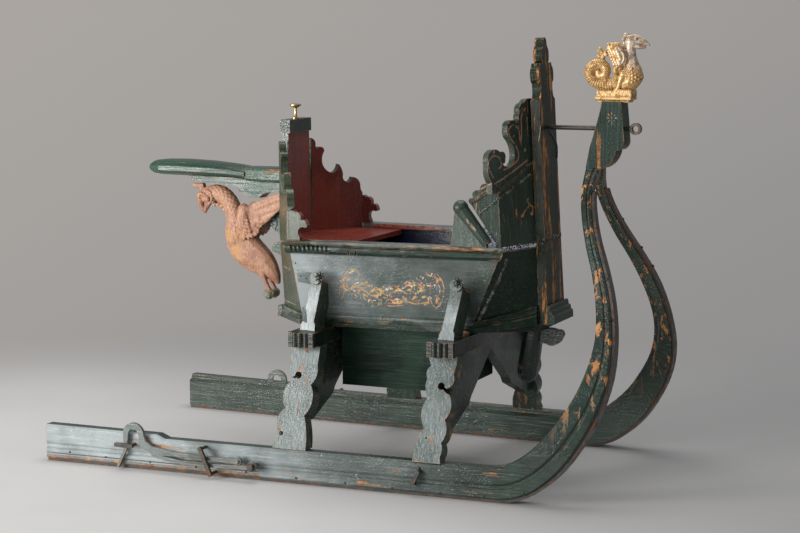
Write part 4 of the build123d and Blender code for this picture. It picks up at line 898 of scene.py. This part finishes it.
def addIronwork(spec):
    shape = bmesh.new()
    for u, v, radius in spec["studs"]:
        dab(shape, u, v, 2 * radius, 2 * radius, 0, 0.6 * radius, rings=5)
    width, height = spec["shoeNail"]
    for u, v in spec["shoeNails"]:
        dab(shape, u, v, width, width, 0, height, "runner_right", 5)
    otherSide(shape)
    for u, v in spec["farStuds"]:    # on the far runner alone
        radius = spec["farRadius"]
        dab(shape, u, v, 2 * radius, 2 * radius, 0, 0.7 * radius, rings=5)
    addTrimPiece(shape, "nails", "ironDark", mirrored=False)
    nuts, petals = bmesh.new(), bmesh.new()
    for node, u, v in spec["rosettes"]:
        place, normal = seenAt(u, v, node)
        turn = onSurface(normal)
        for k in range(spec["petals"]):
            away = turn @ Matrix.Rotation(2 * math.pi * k / spec["petals"], 4, "Z")
            ball(petals, place + away @ Vector((0.0105, 0, 0)), (0.0052, 0.0036, 0.0028), away, 5)
        block(nuts, place + normal * 0.003, (0.0125, 0.0125, 0.007), turn @ Matrix.Rotation(0.5, 4, "Z"), 0.0012)
        ball(nuts, place + normal * 0.0065, (0.0040, 0.0040, 0.0030), turn)
    addTrimPiece(nuts, "rosetteNuts", "ironDark")
    addTrimPiece(petals, "rosettePetals", "greenUp")
    shape = bmesh.new()
    plate(shape, spec["strap"], 0.0018, "side_panel_right")
    plate(shape, spec["tab"], 0.0022)
    addTrimPiece(shape, "straps", "palePlate")
    shape = bmesh.new()
    stroke(shape, spec["stemStrap"], 0.009, 0.0022, "stem")
    stroke(shape, spec["stemClip"], 0.010, 0.0016, "stem", taper=False)
    addTrimPiece(shape, "stemStrap", "ironDark", mirrored=False)


addIronwork(ironwork)

# Lumpy old putty and carved trim along the joints, in pixels of the view, with widths and heights in metres
trim = {
    "crust": [([(499, 251), (516, 247), (531, 243), (545, 239), (556, 236)], 0.010, 0.0028),
              ([(507, 259), (500, 277), (489, 300), (479, 320)], 0.010, 0.0026),
              ([(480, 213), (492, 204), (505, 194), (520, 183), (532, 172)], 0.006, 0.0022)],
    "paleLines": [("rear_side_right", [(279, 264), (285, 267), (291, 270)], 0.0016),
                  ("rear_side_right", [(278, 297), (287, 301), (296, 305)], 0.0016),
                  ("rear_side_right", [(277, 162), (281, 185), (287, 214)], 0.0022),
                  # painted highlight along the stem's edge
                  ("stem", [(543, 104), (542, 118), (540, 132), (538, 146)], 0.0020)],
    "railRim": [(372, 225.3), (395, 226.6), (420, 228.0), (446, 229.4)],
    "headRosette": (612, 118),
    "railLeaves": {"from": 290, "to": 325, "height": 248.5, "count": 9},
    "scrolls": [[(239, 190), (246, 196), (255, 199), (263, 197), (268, 192)], [(244, 189), (252, 193), (260, 193)],
                [(274, 224), (271, 226), (269, 223), (271, 219), (275, 219), (277, 224), (274, 230), (269, 230)]],
}


def addTrim(spec):
    shape = bmesh.new()
    for pixels, width, height in spec["crust"]:
        stroke(shape, pixels, width, height, steps=5, taper=False)
        for index, (u, v) in enumerate(curved(pixels, 9)):
            u, v = u + math.sin(5.1 * index), v + 1.2 * math.cos(3.7 * index)
            dab(shape, u, v, 0.008, 0.005, 71 * index, height + 0.0008)
    u, v = spec["headRosette"]
    dab(shape, u, v, 0.008, 0.008, 0, 0.0012)
    for turn in range(0, 360, 45):
        away = math.radians(turn)
        dab(shape, u + 4.0 * math.cos(away), v + 4.4 * math.sin(away), 0.010, 0.0045, -turn, 0.0010)
    addTrimPiece(shape, "jointPutty", "putty")
    shape = bmesh.new()
    # pale lines on the rear side panel, and a painted highlight along the stem's edge
    for node, pixels, width in spec["paleLines"]:
        stroke(shape, pixels, width, 0.0004, node)
    addTrimPiece(shape, "paleLines", "decorCream", mirrored=False)
    shape = bmesh.new()
    stroke(shape, spec["railRim"], 0.014, 0.0018)
    addTrimPiece(shape, "railRims", "rimRed")
    shape = bmesh.new()
    for pixels in spec["scrolls"]:
        stroke(shape, pixels, 0.007, 0.0022)
    addTrimPiece(shape, "bearerScrolls", "palePlate")
    shape = bmesh.new()
    leaves = spec["railLeaves"]
    for index in range(leaves["count"]):
        u = leaves["from"] + (leaves["to"] - leaves["from"]) * index / (leaves["count"] - 1)
        dab(shape, u, leaves["height"] + 0.5 * math.sin(index), 0.011, 0.019, 14, 0.0045, "rail_right", 6)
    addTrimPiece(shape, "railLeaves", "rail")


addTrim(trim)
print("sled: ironwork and trim added")


# Floor and light
studio = {
    "near": (0.60, 0.585, 0.57),
    "floorShade": (0.36, 0.352, 0.345),      # painted shade on the floor to the right and behind
    "stain": (0.2, 0.2, 0.2),
    "scuff": (0.75, 0.74, 0.72),
    # painted light: beyond its reach the floor glows as a backdrop, brighter on the left than on the right, around the
    # paler floor near the sled
    "farLeft": (0.410, 0.385, 0.365),
    "farRight": (0.275, 0.270, 0.270),
    "reach": (1.25, 2.7),       # where the floor begins and ends to turn into the backdrop, in metres from the middle
    "glossyGlow": 0.4,          # how much of the backdrop the paint's gloss sees
    "skyColor": (0.53, 0.54, 0.56),
    "skyStrength": 0.50,
    "floorSize": 400.0,
    "rim": 3.0,                 # low far wall that hides the horizon
}
lamps = {
    "key": {"place": (-3.7, -4.3, 1.7), "target": (0, 0, 0.45), "size": (2.0, 2.8), "power": 285,
            "color": (1.0, 0.995, 0.98)},
    "sheen": {"place": (-2.5, -5.3, 0.9), "target": (0, -0.2, 0.5), "size": (3.0, 1.6), "power": 125, "diffuse": 0.0},
    "fill": {"place": (3.6, -3.0, 3.0), "target": (0.2, 0, 0.5), "size": (2.4, 2.4), "power": 13,
             "color": (0.97, 0.98, 1.0)},
    "top": {"place": (0.0, 0.6, 4.2), "target": (0, 0, 0.4), "size": (3.0, 3.0), "power": 95},
}


def floorMaterial(spec):
    tree = Tree("studioFloor")
    xyz = tree.split()
    away = tree.vectors("LENGTH", {0: tree.place}, "Value")
    stain = tree.times(tree.ramp(tree.cloud(1.6, 5.0, 0.6), 0.35, 0.7), 0.08)
    color = tree.mix(stain, spec["near"], spec["stain"])
    # painted shade: the floor grows darker to the right and behind
    shade = tree.plus(tree.times(xyz[0], 0.7), xyz[1])
    color = tree.mix(tree.ramp(shade, -0.9, 0.9), color, spec["floorShade"])
    scuffs = tree.cloud(2.0, 6.0, 0.7, source=tree.mapped((1.5, 9, 1)))
    color = tree.mix(tree.times(tree.ramp(scuffs, 0.60, 0.72), 0.10), color, spec["scuff"])
    material = tree.finish(color, 0.75)
    # painted light: the backdrop glows by itself, brighter to the left, fully for the camera and dimly in the paint's
    # gloss
    across = tree.ramp(tree.math("DIVIDE", xyz[0], tree.plus(away, 4.0)), -0.75, 0.25)
    backdrop = tree.mix(across, spec["farLeft"], spec["farRight"])
    glow = tree.add("ShaderNodeEmission", None, {"Color": backdrop, "Strength": 1.0}).outputs[0]
    path = tree.add("ShaderNodeLightPath").outputs
    seen = tree.math("MAXIMUM", path["Is Camera Ray"], tree.times(path["Is Glossy Ray"], spec["glossyGlow"]))
    out = next(node for node in tree.nodes if node.type == "OUTPUT_MATERIAL")
    matte = out.inputs[0].links[0].from_socket
    both = tree.add("ShaderNodeMixShader", None, {0: tree.times(tree.ramp(away, *spec["reach"]), seen)})
    for source, target in ((matte, both.inputs[1]), (glow, both.inputs[2]), (both.outputs[0], out.inputs[0])):
        tree.links.new(source, target)
    return material


def addFloor(spec):
    shape = bmesh.new()
    bmesh.ops.create_grid(shape, x_segments=2, y_segments=2, size=spec["floorSize"] / 2)
    rim = bmesh.ops.extrude_edge_only(shape, edges=[edge for edge in shape.edges if edge.is_boundary])["geom"]
    bmesh.ops.translate(shape, vec=(0, 0, spec["rim"]), verts=vertsOf(rim))
    mesh = toMesh(shape, "floor")
    mesh.materials.append(floorMaterial(spec))
    ground = bpy.data.objects.new("ground", mesh)
    bpy.context.scene.collection.objects.link(ground)


def addLamp(name, place, target, size, power, color=(1, 1, 1), diffuse=1.0):
    data = bpy.data.lights.new(name, "AREA")
    data.shape = "RECTANGLE"
    data.size, data.size_y = size
    data.energy = power
    data.color = color
    data.diffuse_factor = diffuse
    lamp = bpy.data.objects.new(name, data)
    direction = Vector(target) - Vector(place)
    lamp.matrix_world = Matrix.Translation(place) @ direction.to_track_quat("-Z", "Y").to_matrix().to_4x4()
    bpy.context.scene.collection.objects.link(lamp)


def addWorld(spec):
    world = bpy.data.worlds.new("studio")
    bpy.context.scene.world = world
    world.use_nodes = True
    background = world.node_tree.nodes["Background"]
    background.inputs["Color"].default_value = (*spec["skyColor"], 1)
    background.inputs["Strength"].default_value = spec["skyStrength"]


addFloor(studio)
addWorld(studio)
for name, lamp in lamps.items():
    addLamp(name, **lamp)

bpy.context.scene.view_settings.view_transform = "Standard"
print("sled: scene complete")
